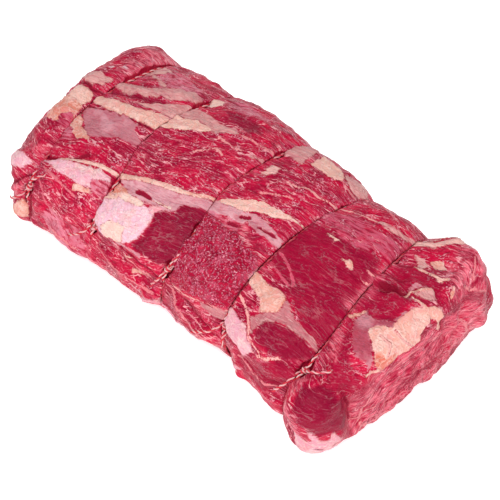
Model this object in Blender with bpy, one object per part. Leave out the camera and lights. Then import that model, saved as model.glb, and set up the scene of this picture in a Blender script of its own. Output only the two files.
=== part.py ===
"""A raw beef joint: boned, rolled and tied with five loops of butcher's twine.

The joint lies along X on its flattened underside. Its narrower end is at -X, its cut end at +X,
and its near side, where the knots are, faces -Y. A place on its skin has two numbers:
  along   millimetres from the middle, positive towards the cut end, running on over each end to its tip
  round   degrees round the girth, 0 on top, 90 on the near side, 180 underneath, 270 on the far side
"""

import math

import bmesh
import bpy
import numpy as np
from mathutils import Vector, noise

MM = 0.001

# The two ends, in millimetres
TIPS = (-158.0, 159.0)
CAP_DEPTHS = (34.0, 29.0)
CAP_POWERS = (2.8, 3.0)
END_SKEWS = (-8.0, 6.0)
SKEW_SPAN = 20.0
SKEW_ARM = 70.0

# The roll's girth at six stations, before the ties pull it in
STATIONS = (-128.0, -95.0, -34.0, 28.0, 86.0, 130.0)
NEAR_HALF_WIDTHS = (74.0, 67.0, 67.0, 67.0, 73.0, 86.0)
FAR_HALF_WIDTHS = (92.0, 86.0, 88.0, 81.0, 74.0, 85.0)
HEIGHTS = (76.0, 80.0, 84.0, 84.0, 82.0, 78.0)
CORE_SHARE = 0.45
TOP_POWER = 2.7
BASE_POWER = 3.4
BASE_PRESS = 2.0
MEAN_SECTION = (70.0, 80.0, 82.0)
MEAN_RADIUS = 62.0

# Each tie: its station, then its x every 45 degrees round, first towards the near side
TIE_STATIONS = (-124.0, -67.0, 0.0, 57.0, 110.0)
TIE_LINES = (
    (-127.0, -121.0, -124.0, -130.0, -129.0, -123.0, -116.0, -122.0),
    (-72.0, -62.0, -66.0, -67.0, -67.0, -67.0, -66.0, -68.0),
    (-2.0, 5.0, -3.0, -5.0, -2.0, 2.0, 5.0, 2.0),
    (55.0, 54.0, 52.0, 55.0, 57.0, 61.0, 65.0, 61.0),
    (113.0, 118.0, 110.0, 109.0, 108.0, 107.0, 106.0, 109.0),
)
# How far each tie pulls the roll in, on the far side, on top and on the near side
TIE_PULLS = ((5.0, 3.0, 7.0), (3.0, 3.0, 4.0), (3.0, 3.0, 5.0), (4.0, 4.0, 6.0), (7.0, 5.0, 9.0))
PULL_REACH = 26.0
PULL_POWER = 2.5

# The narrow groove that each loop lies in, and its depth every 45 degrees round
GROOVE_FLOOR = 1.8
GROOVE_EDGE = 3.8
GROOVE_SHOULDER = 6.0
GROOVE_RINGS = (-GROOVE_SHOULDER, -GROOVE_EDGE, -GROOVE_FLOOR, GROOVE_FLOOR, GROOVE_EDGE, GROOVE_SHOULDER)
GROOVE_DEPTHS = (
    (3.6, 3.4, 2.6, 2.8, 3.1, 3.0, 3.4, 3.8),
    (4.2, 2.8, 3.4, 3.0, 3.1, 3.0, 3.4, 3.6),
    (3.0, 3.4, 2.5, 2.8, 3.1, 3.0, 3.4, 3.6),
    (4.2, 4.2, 3.4, 3.0, 3.1, 3.0, 3.4, 3.8),
    (4.4, 4.2, 3.6, 3.0, 3.1, 3.0, 3.6, 4.2),
)

# Lobes and creases that stand out from the plain roll: the line each one follows as (along, round)
# places, its half width and its height in millimetres, which is negative for a crease
FORMS = (
    ("nose lobe", ((140, 72), (150, 88)), 30, 6.0),
    ("crease over the nose", ((124, 46), (144, 48), (158, 58), (166, 74), (168, 96)), 10, -2.5),
    ("far ear", ((132, -62), (150, -66)), 26, 5.0),
    ("crease under the ear", ((116, -30), (136, -42), (158, -46), (172, -52)), 8, -2.5),
    ("hole behind the flap", ((119, -17), (125, -15), (131, -13)), 7, -4.5),
    ("flap", ((126, -6), (138, -8), (148, -13)), 8, 2.0),
    ("brow of the cut end", ((150, 20), (152, 0), (152, -16)), 12, 2.0),
    ("far left corner", ((-137, -52), (-135, -70)), 24, 4.0),
    ("left lobe", ((-142, 56), (-140, 72)), 16, 3.0),
    ("crease in the left end", ((-152, 44), (-138, 46), (-128, 44)), 6, -2.0),
    ("lower left lobe", ((-136, 92), (-130, 100)), 16, 2.0),
    ("belly between ties 1 and 2", ((-98, 60), (-92, 76)), 24, 2.0),
    ("shoulder between ties 2 and 3", ((-44, 44), (-30, 56)), 26, 2.5),
    ("shoulder between ties 3 and 4", ((22, 40), (34, 54)), 24, 2.5),
    ("belly between ties 4 and 5", ((82, 44), (88, 64)), 24, 2.5),
    ("seam along the near side", ((-60, 80), (-32, 79), (-6, 82), (14, 80), (40, 78), (52, 78)), 7, -1.8),
    ("fat tag by tie 3", ((-7, 96), (-10, 104)), 8, 3.5),
    ("fat tag by tie 4", ((70, 96), (72, 104)), 8, 3.5),
)
# Slow swells and dips of the soft surface
SWELL_LENGTH = 38.0
SWELL_HEIGHT = 1.6
BASE_FADE = 10.0

# Each knot's place round its tie, and where its loose tails end as (along, round)
KNOTS = (68.0, 75.0, 67.0, 77.0, 56.0)
TAILS = (
    ((-110, 56), (-137, 82)),
    ((-83, 90), (-59, 70)),
    ((-7, 86), (5, 52)),
    ((36, 94), (63, 88)),
    ((103, 79), (134, 44), (107, 48)),
)
KNOT_DIMPLE = 9.0
KNOT_DIMPLE_DEPTH = 2.0
TWINE_RADIUS = 0.95
TWINE_SIDES = 6
TWINE_LIFT = 1.5
KNOT_RAISE = 1.7
KNOT_FADE = 7.5
WRAP_RADIUS = 1.7
WRAP_STEPS = 8
WRAP_SPACING = 0.8
WRAP_TILT = 14.0
WRAP_RAISE = 0.55
TAIL_LIFT = 2.3
TAIL_HUMP = 1.0
TAIL_STEPS = 4

# The faceted mesh: columns round the girth, and rings along it
COLUMNS = 48
RING_SPACING = 6.9
TIP_STEP = 3.0
TIP_DOME = 0.4

MEAT_COLOUR = (0.45, 0.03, 0.07, 1.0)
MEAT_ROUGHNESS = 0.32
TWINE_COLOUR = (0.75, 0.45, 0.45, 1.0)
TWINE_ROUGHNESS = 0.8


def smooth_through(x, places, values):
    """A smooth curve through the values at those places, level beyond its two ends."""
    places = np.asarray(places, float)
    values = np.asarray(values, float)
    slopes = np.gradient(values, places, axis=0)
    slopes[0] = 0.0
    slopes[-1] = 0.0
    x = np.clip(x, places[0], places[-1])
    left = np.clip(np.searchsorted(places, x, side="right") - 1, 0, len(places) - 2)
    width = places[left + 1] - places[left]
    share = (x - places[left]) / width
    if values.ndim > 1:
        share = share[:, None]
        width = width[:, None]
    cubic = share * share * (3 - 2 * share)
    rise = share * (1 - share) * width
    ends = values[left] * (1 - cubic) + values[left + 1] * cubic
    return ends + rise * (slopes[left] * (1 - share) - slopes[left + 1] * share)


def round_through(values, turn):
    """A closed smooth curve through values at equal steps round. turn is 0 to 1."""
    values = np.asarray(values, float)
    count = len(values)
    at = (np.asarray(turn) % 1.0) * count
    i = np.floor(at).astype(int) % count
    f = at - np.floor(at)
    before, here = values[i - 1], values[i]
    after, beyond = values[(i + 1) % count], values[(i + 2) % count]
    return here + 0.5 * f * (
        after - before + f * (2 * before - 5 * here + 4 * after - beyond + f * (3 * (here - after) + beyond - before))
    )


def section(angle, near, far, height):
    """The roll's outline: y and z at an angle from the top, with a flattened underside."""
    s, c = np.sin(angle), np.cos(angle)
    power = np.where(c > 0, TOP_POWER, BASE_POWER)
    core = height * CORE_SHARE
    y = -np.where(s > 0, near, far) * np.sign(s) * np.abs(s) ** (2 / power)
    reach = np.abs(c) ** (2 / power)
    z = np.where(c > 0, core + (height - core) * reach, core - (core + BASE_PRESS) * reach)
    return y, z


def angle_at(turn):
    """The section angle that lies this share of the girth from the top, measured along the skin."""
    angle = np.linspace(-math.pi, math.pi, 4001)
    y, z = section(angle, *MEAN_SECTION)
    length = np.concatenate([[0.0], np.cumsum(np.hypot(np.diff(y), np.diff(np.maximum(z, 0.0))))])
    share = length / length[-1]
    top = np.interp(0.0, angle, share)
    return np.interp((np.asarray(turn) + top) % 1.0, share, angle)


def profile_path():
    """The lengthwise profile as along, x and the section's scale, from tip to tip."""
    sweep = np.linspace(0.0, math.pi / 2, 300)
    ends = []
    for tip, depth, power, way in zip(TIPS, CAP_DEPTHS, CAP_POWERS, (-1, 1)):
        scale = np.cos(sweep) ** (2 / power)
        scale[-1] = 0.0
        ends.append((tip - way * depth * (1 - np.sin(sweep) ** (2 / power)), scale))
    x = np.concatenate([ends[0][0][::-1], ends[1][0]])
    scale = np.concatenate([ends[0][1][::-1], ends[1][1]])
    step = np.hypot(np.diff(x), MEAN_RADIUS * np.diff(scale))
    along = np.concatenate([[0.0], np.cumsum(step)])
    return along - np.interp(0.0, x, along), x, scale


PATH_ALONG, PATH_X, PATH_SCALE = profile_path()
REACH = (PATH_ALONG[0], PATH_ALONG[-1])


def plain_skin(along, turn):
    """The roll as the ties shape it, without relief: rings by columns by xyz, in millimetres."""
    x = np.interp(along, PATH_ALONG, PATH_X)
    scale = np.interp(along, PATH_ALONG, PATH_SCALE)[:, None]
    near = smooth_through(x, STATIONS, NEAR_HALF_WIDTHS)[:, None]
    far = smooth_through(x, STATIONS, FAR_HALF_WIDTHS)[:, None]
    height = smooth_through(x, STATIONS, HEIGHTS)[:, None]
    nearest = np.argmin(np.abs(x[:, None] - TIE_STATIONS), axis=1)
    away = np.abs(x - np.array(TIE_STATIONS)[nearest])
    angle = 2 * math.pi * turn
    pulls = np.array(TIE_PULLS)[nearest]
    pull = (
        pulls[:, 0:1] * np.clip(-np.sin(angle), 0, 1) ** 2
        + pulls[:, 1:2] * np.clip(np.cos(angle), 0, 1) ** 2
        + pulls[:, 2:3] * np.clip(np.sin(angle), 0, 1) ** 2
    ) * np.clip(1 - away / PULL_REACH, 0, 1)[:, None] ** PULL_POWER
    y, z = section(angle_at(turn)[None] + 0 * near, near - pull, far - pull, height - pull)
    core = height * CORE_SHARE
    y = y * scale
    z = np.maximum(core + (z - core) * scale, 0.0)
    shifts = [np.zeros_like(turn)]
    shifts += [round_through(line, turn) - at for line, at in zip(TIE_LINES, TIE_STATIONS)]
    shifts += [np.zeros_like(turn)]
    shift = smooth_through(x, (TIPS[0], *TIE_STATIONS, TIPS[1]), np.array(shifts))
    at_end = np.clip((np.abs(x) - abs(STATIONS[0])) / SKEW_SPAN + 0.5, 0, 1)
    skew = (np.where(x < 0, *END_SKEWS) * at_end)[:, None]
    return np.stack([x[:, None] + shift + skew * y / SKEW_ARM, y, z], axis=-1)


def near_line(points, places, half_width):
    """How close points lie to a line on the skin: 1 on it, falling smoothly to 0 at the half width."""
    places = np.array(places, float)
    steps = max(2, int(np.hypot(*np.ptp(places, axis=0)) / 3))
    at = np.linspace(0, len(places) - 1, steps)
    along = np.interp(at, np.arange(len(places)), places[:, 0])
    turn = np.interp(at, np.arange(len(places)), places[:, 1]) / 360
    line = np.array([plain_skin(np.array([a]), np.array([t]))[0, 0] for a, t in zip(along, turn)])
    flat = points.reshape(-1, 3)
    distance = np.full(len(flat), np.inf)
    for start, end in zip(line[:-1], line[1:]):
        run = end - start
        share = np.clip(((flat - start) @ run) / (run @ run), 0, 1)
        distance = np.minimum(distance, np.linalg.norm(flat - start - share[:, None] * run, axis=1))
    return (np.clip(1 - (distance / half_width) ** 2, 0, 1) ** 2).reshape(points.shape[:-1])


def skin_normals(along, turn):
    """Outward normals of the plain skin."""
    half = 0.4
    lengthwise = plain_skin(along + half, turn) - plain_skin(along - half, turn)
    crosswise = plain_skin(along, turn + half / 360) - plain_skin(along, turn - half / 360)
    normal = np.cross(crosswise, lengthwise)
    return normal / np.maximum(np.linalg.norm(normal, axis=-1, keepdims=True), 1e-9)


def tie_along(tie):
    """Where a tie lies along the skin."""
    return float(np.interp(TIE_STATIONS[tie], PATH_X, PATH_ALONG))


def groove_depth(along, turn):
    """How deep the ties' grooves cut in at each place."""
    depth = np.zeros((len(along), len(turn)))
    for tie, depths in enumerate(GROOVE_DEPTHS):
        away = np.abs(along - tie_along(tie))[:, None]
        here = round_through(depths, turn)[None]
        wall = np.interp(away, (GROOVE_FLOOR, GROOVE_EDGE, GROOVE_SHOULDER), (1.0, 0.16, 0.0))
        depth = np.maximum(depth, here * wall)
    return depth


def skin(along, turn):
    """The finished skin and its normals, for rings at along and columns at turn."""
    along = np.asarray(along, float)
    turn = np.asarray(turn, float)
    place = plain_skin(along, turn)
    normal = skin_normals(along, turn)
    height = np.zeros(place.shape[:2])
    for _, places, half_width, rise in FORMS:
        height += rise * near_line(place, places, half_width)
    for tie, knot in enumerate(KNOTS):
        height -= KNOT_DIMPLE_DEPTH * near_line(place, ((tie_along(tie), knot - 1), (tie_along(tie), knot + 1)), KNOT_DIMPLE)
    swells = [noise.noise(Vector(point / SWELL_LENGTH)) for point in place.reshape(-1, 3)]
    height += SWELL_HEIGHT * np.array(swells).reshape(height.shape)
    height *= np.clip(place[..., 2] / BASE_FADE, 0, 1)
    place = place + normal * (height - groove_depth(along, turn))[..., None]
    place[..., 2] = np.maximum(place[..., 2], 0.0)
    return place, normal


def ring_places():
    """Rings from tip to tip: a set across each groove, and even steps between the sets."""
    rings = [tie_along(tie) + step for tie in range(len(TIE_STATIONS)) for step in GROOVE_RINGS]
    stops = [REACH[0]]
    for tie in range(len(TIE_STATIONS)):
        stops += [tie_along(tie) + GROOVE_RINGS[0], tie_along(tie) + GROOVE_RINGS[-1]]
    stops.append(REACH[1])
    for start, end in zip(stops[::2], stops[1::2]):
        count = round((end - start) / RING_SPACING)
        rings += list(np.linspace(start, end, count + 1)[1:-1])
    return np.array([REACH[0] + TIP_STEP, *sorted(rings), REACH[1] - TIP_STEP])


def new_object(name, vertices, faces, material):
    """An object from points in millimetres and their faces."""
    mesh = bpy.data.meshes.new(name)
    mesh.from_pydata([tuple(np.array(v) * MM) for v in vertices], [], faces)
    mesh.materials.append(material)
    mesh.shade_smooth()
    obj = bpy.data.objects.new(name, mesh)
    bpy.context.scene.collection.objects.link(obj)
    return obj


def new_material(name, colour, roughness):
    """A plain material of one colour."""
    material = bpy.data.materials.new(name)
    material.use_nodes = True
    shader = material.node_tree.nodes["Principled BSDF"]
    shader.inputs["Base Color"].default_value = colour
    shader.inputs["Roughness"].default_value = roughness
    shader.inputs["Metallic"].default_value = 0.0
    return material


def grid_faces(rows, columns):
    """Triangles between rows of columns that close on themselves."""
    faces = []
    for row in range(rows - 1):
        for column in range(columns):
            following = (column + 1) % columns
            a, b = row * columns + column, row * columns + following
            c, d = b + columns, a + columns
            faces += [(a, c, d), (a, b, c)] if (row + column) % 2 else [(a, b, d), (b, c, d)]
    return faces


def make_meat(material):
    """The meat, as one closed body with the ties' grooves in it."""
    place, _ = skin(ring_places(), np.arange(COLUMNS) / COLUMNS)
    rows = len(place)
    tips = [place[0].mean(axis=0), place[-1].mean(axis=0)]
    tips[0][0] -= TIP_DOME
    tips[1][0] += TIP_DOME
    faces = grid_faces(rows, COLUMNS)
    last_ring = (rows - 1) * COLUMNS
    first_tip, last_tip = rows * COLUMNS, rows * COLUMNS + 1
    for column in range(COLUMNS):
        following = (column + 1) % COLUMNS
        faces.append((first_tip, following, column))
        faces.append((last_tip, last_ring + column, last_ring + following))
    return new_object("beef", [*place.reshape(-1, 3), *tips], faces, material)


def tube(name, path, outward, closed, material):
    """A tube of twine along a path, closed into a ring or capped at both ends."""
    path = np.array(path, float)
    ahead = np.roll(path, -1, axis=0) - np.roll(path, 1, axis=0) if closed else np.gradient(path, axis=0)
    across = np.cross(ahead, outward)
    across /= np.linalg.norm(across, axis=1, keepdims=True)
    upward = np.cross(across, ahead)
    upward /= np.linalg.norm(upward, axis=1, keepdims=True)
    angle = 2 * math.pi * np.arange(TWINE_SIDES) / TWINE_SIDES
    spread = np.cos(angle)[:, None, None] * upward + np.sin(angle)[:, None, None] * across
    vertices = (path + TWINE_RADIUS * spread).transpose(1, 0, 2).reshape(-1, 3)
    rows = len(path)
    faces = grid_faces(rows, TWINE_SIDES)
    last_ring = (rows - 1) * TWINE_SIDES
    if closed:
        for side in range(TWINE_SIDES):
            a, b = last_ring + side, last_ring + (side + 1) % TWINE_SIDES
            c, d = (side + 1) % TWINE_SIDES, side
            faces += [(a, b, c), (a, c, d)]
    else:
        faces.append(tuple(reversed(range(TWINE_SIDES))))
        faces.append(tuple(last_ring + side for side in range(TWINE_SIDES)))
    return new_object(name, vertices, faces, material)


def keep_outer_body(mesh):
    """Drop the shells that fusing leaves shut inside, so that the body is solid there."""
    body = bmesh.new()
    body.from_mesh(mesh)
    unseen = set(body.verts)
    shells = []
    while unseen:
        shell, edge = set(), [unseen.pop()]
        while edge:
            vertex = edge.pop()
            shell.add(vertex)
            beside = {link.other_vert(vertex) for link in vertex.link_edges} & unseen
            unseen -= beside
            edge += beside
        shells.append(shell)
    outer = max(shells, key=len)
    bmesh.ops.delete(body, geom=[v for v in body.verts if v not in outer], context="VERTS")
    body.to_mesh(mesh)
    body.free()


def joined(name, pieces):
    """One closed body from overlapping pieces."""
    others = bpy.data.collections.new(name + "_pieces")
    for piece in pieces[1:]:
        others.objects.link(piece)
    union = pieces[0].modifiers.new("union", "BOOLEAN")
    union.operation = "UNION"
    union.operand_type = "COLLECTION"
    union.collection = others
    union.solver = "EXACT"
    view = bpy.context.evaluated_depsgraph_get()
    mesh = bpy.data.meshes.new_from_object(pieces[0].evaluated_get(view))
    mesh.name = name
    keep_outer_body(mesh)
    for piece in pieces:
        bpy.data.objects.remove(piece)
    bpy.data.collections.remove(others)
    mesh.shade_smooth()
    obj = bpy.data.objects.new(name, mesh)
    bpy.context.scene.collection.objects.link(obj)
    return obj


def make_tie(tie, material):
    """One loop of twine in its groove, with its knot and the knot's loose tails."""
    turn = np.arange(COLUMNS) / COLUMNS
    along = tie_along(tie)
    floor, normal = skin([along - GROOVE_FLOOR, along + GROOVE_FLOOR], turn)
    outward = normal.mean(axis=0)
    outward /= np.linalg.norm(outward, axis=1, keepdims=True)
    from_knot = np.abs((turn * 360 - KNOTS[tie] + 180) % 360 - 180)
    lift = TWINE_LIFT + KNOT_RAISE * np.clip(2 - from_knot / KNOT_FADE, 0, 1)
    path = floor.mean(axis=0) + outward * lift[:, None]
    pieces = [tube("loop", path, outward, True, material)]

    at = KNOTS[tie] / 360 * COLUMNS
    before = int(at)
    start, end = path[before], path[before + 1]
    upward = outward[before] + outward[before + 1]
    upward /= np.linalg.norm(upward)
    ahead = (end - start) / np.linalg.norm(end - start)
    across = np.cross(ahead, upward)
    middle = start + (end - start) * (at - before) + upward * WRAP_RAISE
    sweep = 2 * math.pi * np.arange(WRAP_STEPS) / WRAP_STEPS
    for way in (-1, 1):
        tilt = math.radians(way * WRAP_TILT)
        axis = ahead * math.cos(tilt) + across * math.sin(tilt)
        aside = np.cross(axis, upward)
        ring = middle + ahead * way * WRAP_SPACING
        ring = ring + WRAP_RADIUS * (np.cos(sweep)[:, None] * upward + np.sin(sweep)[:, None] * aside)
        pieces.append(tube("wrap", ring, np.tile(axis, (WRAP_STEPS, 1)), True, material))

    for tip in TAILS[tie]:
        share = np.linspace(0, 1, TAIL_STEPS + 1)[1:]
        route = [middle]
        facing = [upward]
        for part in share:
            place, out = skin([along + (tip[0] - along) * part], [(KNOTS[tie] + (tip[1] - KNOTS[tie]) * part) / 360])
            route.append(place[0, 0] + out[0, 0] * (TAIL_LIFT + TAIL_HUMP * math.sin(math.pi * part)))
            facing.append(out[0, 0])
        pieces.append(tube("tail", route, np.array(facing), False, material))
    return joined(f"twine_tie_{tie + 1}", pieces)


def main():
    for obj in list(bpy.data.objects):
        bpy.data.objects.remove(obj)
    meat = make_meat(new_material("raw beef", MEAT_COLOUR, MEAT_ROUGHNESS))
    twine = new_material("butcher's twine", TWINE_COLOUR, TWINE_ROUGHNESS)
    ties = [make_tie(tie, twine) for tie in range(len(TIE_STATIONS))]
    corners = np.array([vertex.co[:] for vertex in meat.data.vertices])
    middle = (corners.min(axis=0) + corners.max(axis=0)) / 2
    for obj in (meat, *ties):
        obj.location = (-middle[0], -middle[1], 0.0)


main()
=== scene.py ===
# %% [markdown]
# # A raw beef joint, boned, rolled and tied
#
# A rolling joint like this one is a boned piece of shoulder that a butcher has rolled up and tied with five
# loops of striped twine. Its skin isn't one stuff: there is wet red lean with a grain, hard cream fat, soft
# pink fat, and silverskin, the tough pearly sheet between muscles. This file models it in Blender in small
# steps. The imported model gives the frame, and every length below is a real one, in millimetres.

# %% Load the frame
import math

import bpy
import numpy as np
from mathutils import Matrix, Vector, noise


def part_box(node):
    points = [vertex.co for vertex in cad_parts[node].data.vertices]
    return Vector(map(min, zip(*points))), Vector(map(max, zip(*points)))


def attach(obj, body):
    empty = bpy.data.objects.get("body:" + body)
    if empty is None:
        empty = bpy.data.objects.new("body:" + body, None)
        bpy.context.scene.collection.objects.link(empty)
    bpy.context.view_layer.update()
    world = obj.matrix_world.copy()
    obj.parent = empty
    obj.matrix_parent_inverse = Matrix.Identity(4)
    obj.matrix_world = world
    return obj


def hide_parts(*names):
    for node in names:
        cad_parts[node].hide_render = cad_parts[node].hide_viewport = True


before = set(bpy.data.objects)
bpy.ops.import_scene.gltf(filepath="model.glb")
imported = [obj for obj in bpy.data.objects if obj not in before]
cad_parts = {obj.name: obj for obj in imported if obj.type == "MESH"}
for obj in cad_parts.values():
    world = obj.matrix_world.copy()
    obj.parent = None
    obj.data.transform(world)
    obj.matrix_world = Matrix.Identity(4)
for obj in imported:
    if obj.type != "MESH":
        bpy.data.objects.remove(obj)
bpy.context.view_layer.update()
MM = 0.001
TINY = 1e-9
TIE_COUNT = sum(name.startswith("twine_tie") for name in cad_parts)

# %% [markdown]
# The roll's shape is worked out again here by the rules that its solid was made with, so the fine skin
# below lies on the plain solid. It could be sculpted over the frame's own mesh instead, but a rule can be
# sampled as finely as the fat and fibres need. A place on the skin has two numbers: `along`, millimetres
# from the middle towards the cut end and on over each end to its tip, and `turn`, the share of the girth
# from the top towards the near side.

# %% Driving sizes of the roll, in millimetres
TIPS = (-158.0, 159.0)
CAP_DEPTHS = (34.0, 29.0)
CAP_POWERS = (2.8, 3.0)
END_SKEWS = (-8.0, 6.0)
SKEW_SPAN = 20.0
SKEW_ARM = 70.0
STATIONS = (-128.0, -95.0, -34.0, 28.0, 86.0, 130.0)
NEAR_HALF_WIDTHS = (74.0, 67.0, 67.0, 67.0, 73.0, 86.0)
FAR_HALF_WIDTHS = (92.0, 86.0, 88.0, 81.0, 74.0, 85.0)
HEIGHTS = (76.0, 80.0, 84.0, 84.0, 82.0, 78.0)
CORE_SHARE = 0.45
TOP_POWER = 2.7
BASE_POWER = 3.4
BASE_PRESS = 2.0
MEAN_SECTION = (70.0, 80.0, 82.0)
MEAN_RADIUS = 62.0
GIRTH = 400.0
SECTION_STEPS = 4001
CAP_STEPS = 300
FRAME_STEP = 0.4

TIE_STATIONS = (-124.0, -67.0, 0.0, 57.0, 110.0)
TIE_LINES = (
    (-127.0, -121.0, -124.0, -130.0, -129.0, -123.0, -116.0, -122.0),
    (-72.0, -62.0, -66.0, -67.0, -67.0, -67.0, -66.0, -68.0),
    (-2.0, 5.0, -3.0, -5.0, -2.0, 2.0, 5.0, 2.0),
    (55.0, 54.0, 52.0, 55.0, 57.0, 61.0, 65.0, 61.0),
    (113.0, 118.0, 110.0, 109.0, 108.0, 107.0, 106.0, 109.0),
)
TIE_PULLS = ((5.0, 3.0, 7.0), (3.0, 3.0, 4.0), (3.0, 3.0, 5.0), (4.0, 4.0, 6.0), (7.0, 5.0, 9.0))
PULL_REACH = 26.0
PULL_POWER = 2.5

print("the roll runs from", TIPS[0], "to", TIPS[1], "mm")


# %% Curves through given values
def smooth_through(x, places, values):
    """A smooth curve through the values at those places, level beyond its two ends."""
    places = np.asarray(places, float)
    values = np.asarray(values, float)
    slopes = np.gradient(values, places, axis=0)
    slopes[0] = 0.0
    slopes[-1] = 0.0
    x = np.clip(x, places[0], places[-1])
    left = np.clip(np.searchsorted(places, x, side="right") - 1, 0, len(places) - 2)
    width = places[left + 1] - places[left]
    share = (x - places[left]) / width
    if values.ndim > 1:
        share = share[:, None]
        width = width[:, None]
    cubic = share * share * (3 - 2 * share)
    rise = share * (1 - share) * width
    ends = values[left] * (1 - cubic) + values[left + 1] * cubic
    return ends + rise * (slopes[left] * (1 - share) - slopes[left + 1] * share)


def round_through(values, turn):
    """A closed smooth curve through values at equal steps round. turn is 0 to 1."""
    values = np.asarray(values, float)
    count = len(values)
    at = (np.asarray(turn) % 1.0) * count
    i = np.floor(at).astype(int) % count
    f = at - np.floor(at)
    before, here = values[i - 1], values[i]
    after, beyond = values[(i + 1) % count], values[(i + 2) % count]
    bend = 2 * before - 5 * here + 4 * after - beyond + f * (3 * (here - after) + beyond - before)
    return here + 0.5 * f * (after - before + f * bend)


print("height in the middle:", smooth_through(0.0, STATIONS, HEIGHTS).round(1), "mm")


# %% The section round the roll
def section(angle, near, far, height):
    """The roll's outline: y and z at an angle from the top, with a flattened underside."""
    s, c = np.sin(angle), np.cos(angle)
    power = np.where(c > 0, TOP_POWER, BASE_POWER)
    core = height * CORE_SHARE
    y = -np.where(s > 0, near, far) * np.sign(s) * np.abs(s) ** (2 / power)
    reach = np.abs(c) ** (2 / power)
    z = np.where(c > 0, core + (height - core) * reach, core - (core + BASE_PRESS) * reach)
    return y, z


def angle_at(turn):
    """The section angle that lies this share of the girth from the top, measured along the skin."""
    angle = np.linspace(-math.pi, math.pi, SECTION_STEPS)
    y, z = section(angle, *MEAN_SECTION)
    length = np.concatenate([[0.0], np.cumsum(np.hypot(np.diff(y), np.diff(np.maximum(z, 0.0))))])
    share = length / length[-1]
    top = np.interp(0.0, angle, share)
    return np.interp((np.asarray(turn) + top) % 1.0, share, angle)


print("the near side is at", np.degrees(angle_at(0.25)).round(), "degrees of the section")


# %% The profile along the roll
def profile_path():
    """The lengthwise profile as along, x and the section's scale, from tip to tip."""
    sweep = np.linspace(0.0, math.pi / 2, CAP_STEPS)
    ends = []
    for tip, depth, power, way in zip(TIPS, CAP_DEPTHS, CAP_POWERS, (-1, 1)):
        scale = np.cos(sweep) ** (2 / power)
        scale[-1] = 0.0
        ends.append((tip - way * depth * (1 - np.sin(sweep) ** (2 / power)), scale))
    x = np.concatenate([ends[0][0][::-1], ends[1][0]])
    scale = np.concatenate([ends[0][1][::-1], ends[1][1]])
    step = np.hypot(np.diff(x), MEAN_RADIUS * np.diff(scale))
    along = np.concatenate([[0.0], np.cumsum(step)])
    return along - np.interp(0.0, x, along), x, scale


PATH_ALONG, PATH_X, PATH_SCALE = profile_path()
REACH = (PATH_ALONG[0], PATH_ALONG[-1])

print("skin runs from", round(REACH[0]), "to", round(REACH[1]), "mm along")


# %% The plain roll
def plain_skin(along, turn):
    """The roll as the ties shape it, without relief: rings by columns by xyz, in millimetres."""
    x = np.interp(along, PATH_ALONG, PATH_X)
    scale = np.interp(along, PATH_ALONG, PATH_SCALE)[:, None]
    near = smooth_through(x, STATIONS, NEAR_HALF_WIDTHS)[:, None]
    far = smooth_through(x, STATIONS, FAR_HALF_WIDTHS)[:, None]
    height = smooth_through(x, STATIONS, HEIGHTS)[:, None]
    nearest = np.argmin(np.abs(x[:, None] - TIE_STATIONS), axis=1)
    away = np.abs(x - np.array(TIE_STATIONS)[nearest])
    angle = 2 * math.pi * turn
    pulls = np.array(TIE_PULLS)[nearest]
    facets = np.clip([-np.sin(angle), np.cos(angle), np.sin(angle)], 0, 1) ** 2
    pull = (pulls @ facets) * np.clip(1 - away / PULL_REACH, 0, 1)[:, None] ** PULL_POWER
    y, z = section(angle_at(turn)[None] + 0 * near, near - pull, far - pull, height - pull)
    core = height * CORE_SHARE
    y = y * scale
    z = np.maximum(core + (z - core) * scale, 0.0)
    shifts = [np.zeros_like(turn)]
    shifts += [round_through(line, turn) - at for line, at in zip(TIE_LINES, TIE_STATIONS)]
    shifts += [np.zeros_like(turn)]
    shift = smooth_through(x, (TIPS[0], *TIE_STATIONS, TIPS[1]), np.array(shifts))
    at_end = np.clip((np.abs(x) - abs(STATIONS[0])) / SKEW_SPAN + 0.5, 0, 1)
    skew = (np.where(x < 0, *END_SKEWS) * at_end)[:, None]
    return np.stack([x[:, None] + shift + skew * y / SKEW_ARM, y, z], axis=-1)


# %% Directions on the skin, and where the ties lie
def unit(vectors):
    """The same directions with a length of 1."""
    return vectors / np.maximum(np.linalg.norm(vectors, axis=-1, keepdims=True), TINY)


def skin_frame(along, turn):
    """Outward normals of the plain skin, and the directions that run along the roll on it."""
    lengthwise = plain_skin(along + FRAME_STEP, turn) - plain_skin(along - FRAME_STEP, turn)
    part = FRAME_STEP / 360
    crosswise = plain_skin(along, turn + part) - plain_skin(along, turn - part)
    return unit(np.cross(crosswise, lengthwise)), unit(lengthwise)


def tie_along(tie):
    """Where a tie lies along the skin."""
    return float(np.interp(TIE_STATIONS[tie], PATH_X, PATH_ALONG))


print("ties at", [round(tie_along(tie)) for tie in range(TIE_COUNT)], "mm along")

# %% [markdown]
# The camera comes before the surface, because the marks on the meat are placed by where the photograph
# shows them. It looks down at 50 degrees from the near right. The same numbers make the Blender camera and
# the small projection that finds which place of the skin a picture point sees.

# %% The camera
PICTURE = 500
VIEW_ROUND = math.radians(42)
VIEW_DOWN = math.radians(50)
VIEW_DISTANCE = 1000.0
VIEW_TARGET = np.array((17.0, 0.0, 35.0))
FOCAL_PIXELS = 1540.0
SENSOR = 36.0
SEEN_RINGS = 700
SEEN_ANGLES = 721

toward_camera = np.array(
    (
        math.sin(VIEW_ROUND) * math.cos(VIEW_DOWN),
        -math.cos(VIEW_ROUND) * math.cos(VIEW_DOWN),
        math.sin(VIEW_DOWN),
    )
)
picture_right = np.array((math.cos(VIEW_ROUND), math.sin(VIEW_ROUND), 0.0))
picture_up = np.cross(toward_camera, picture_right)
camera_place = VIEW_TARGET + toward_camera * VIEW_DISTANCE

print("camera at", camera_place.round(), "mm")


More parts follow.
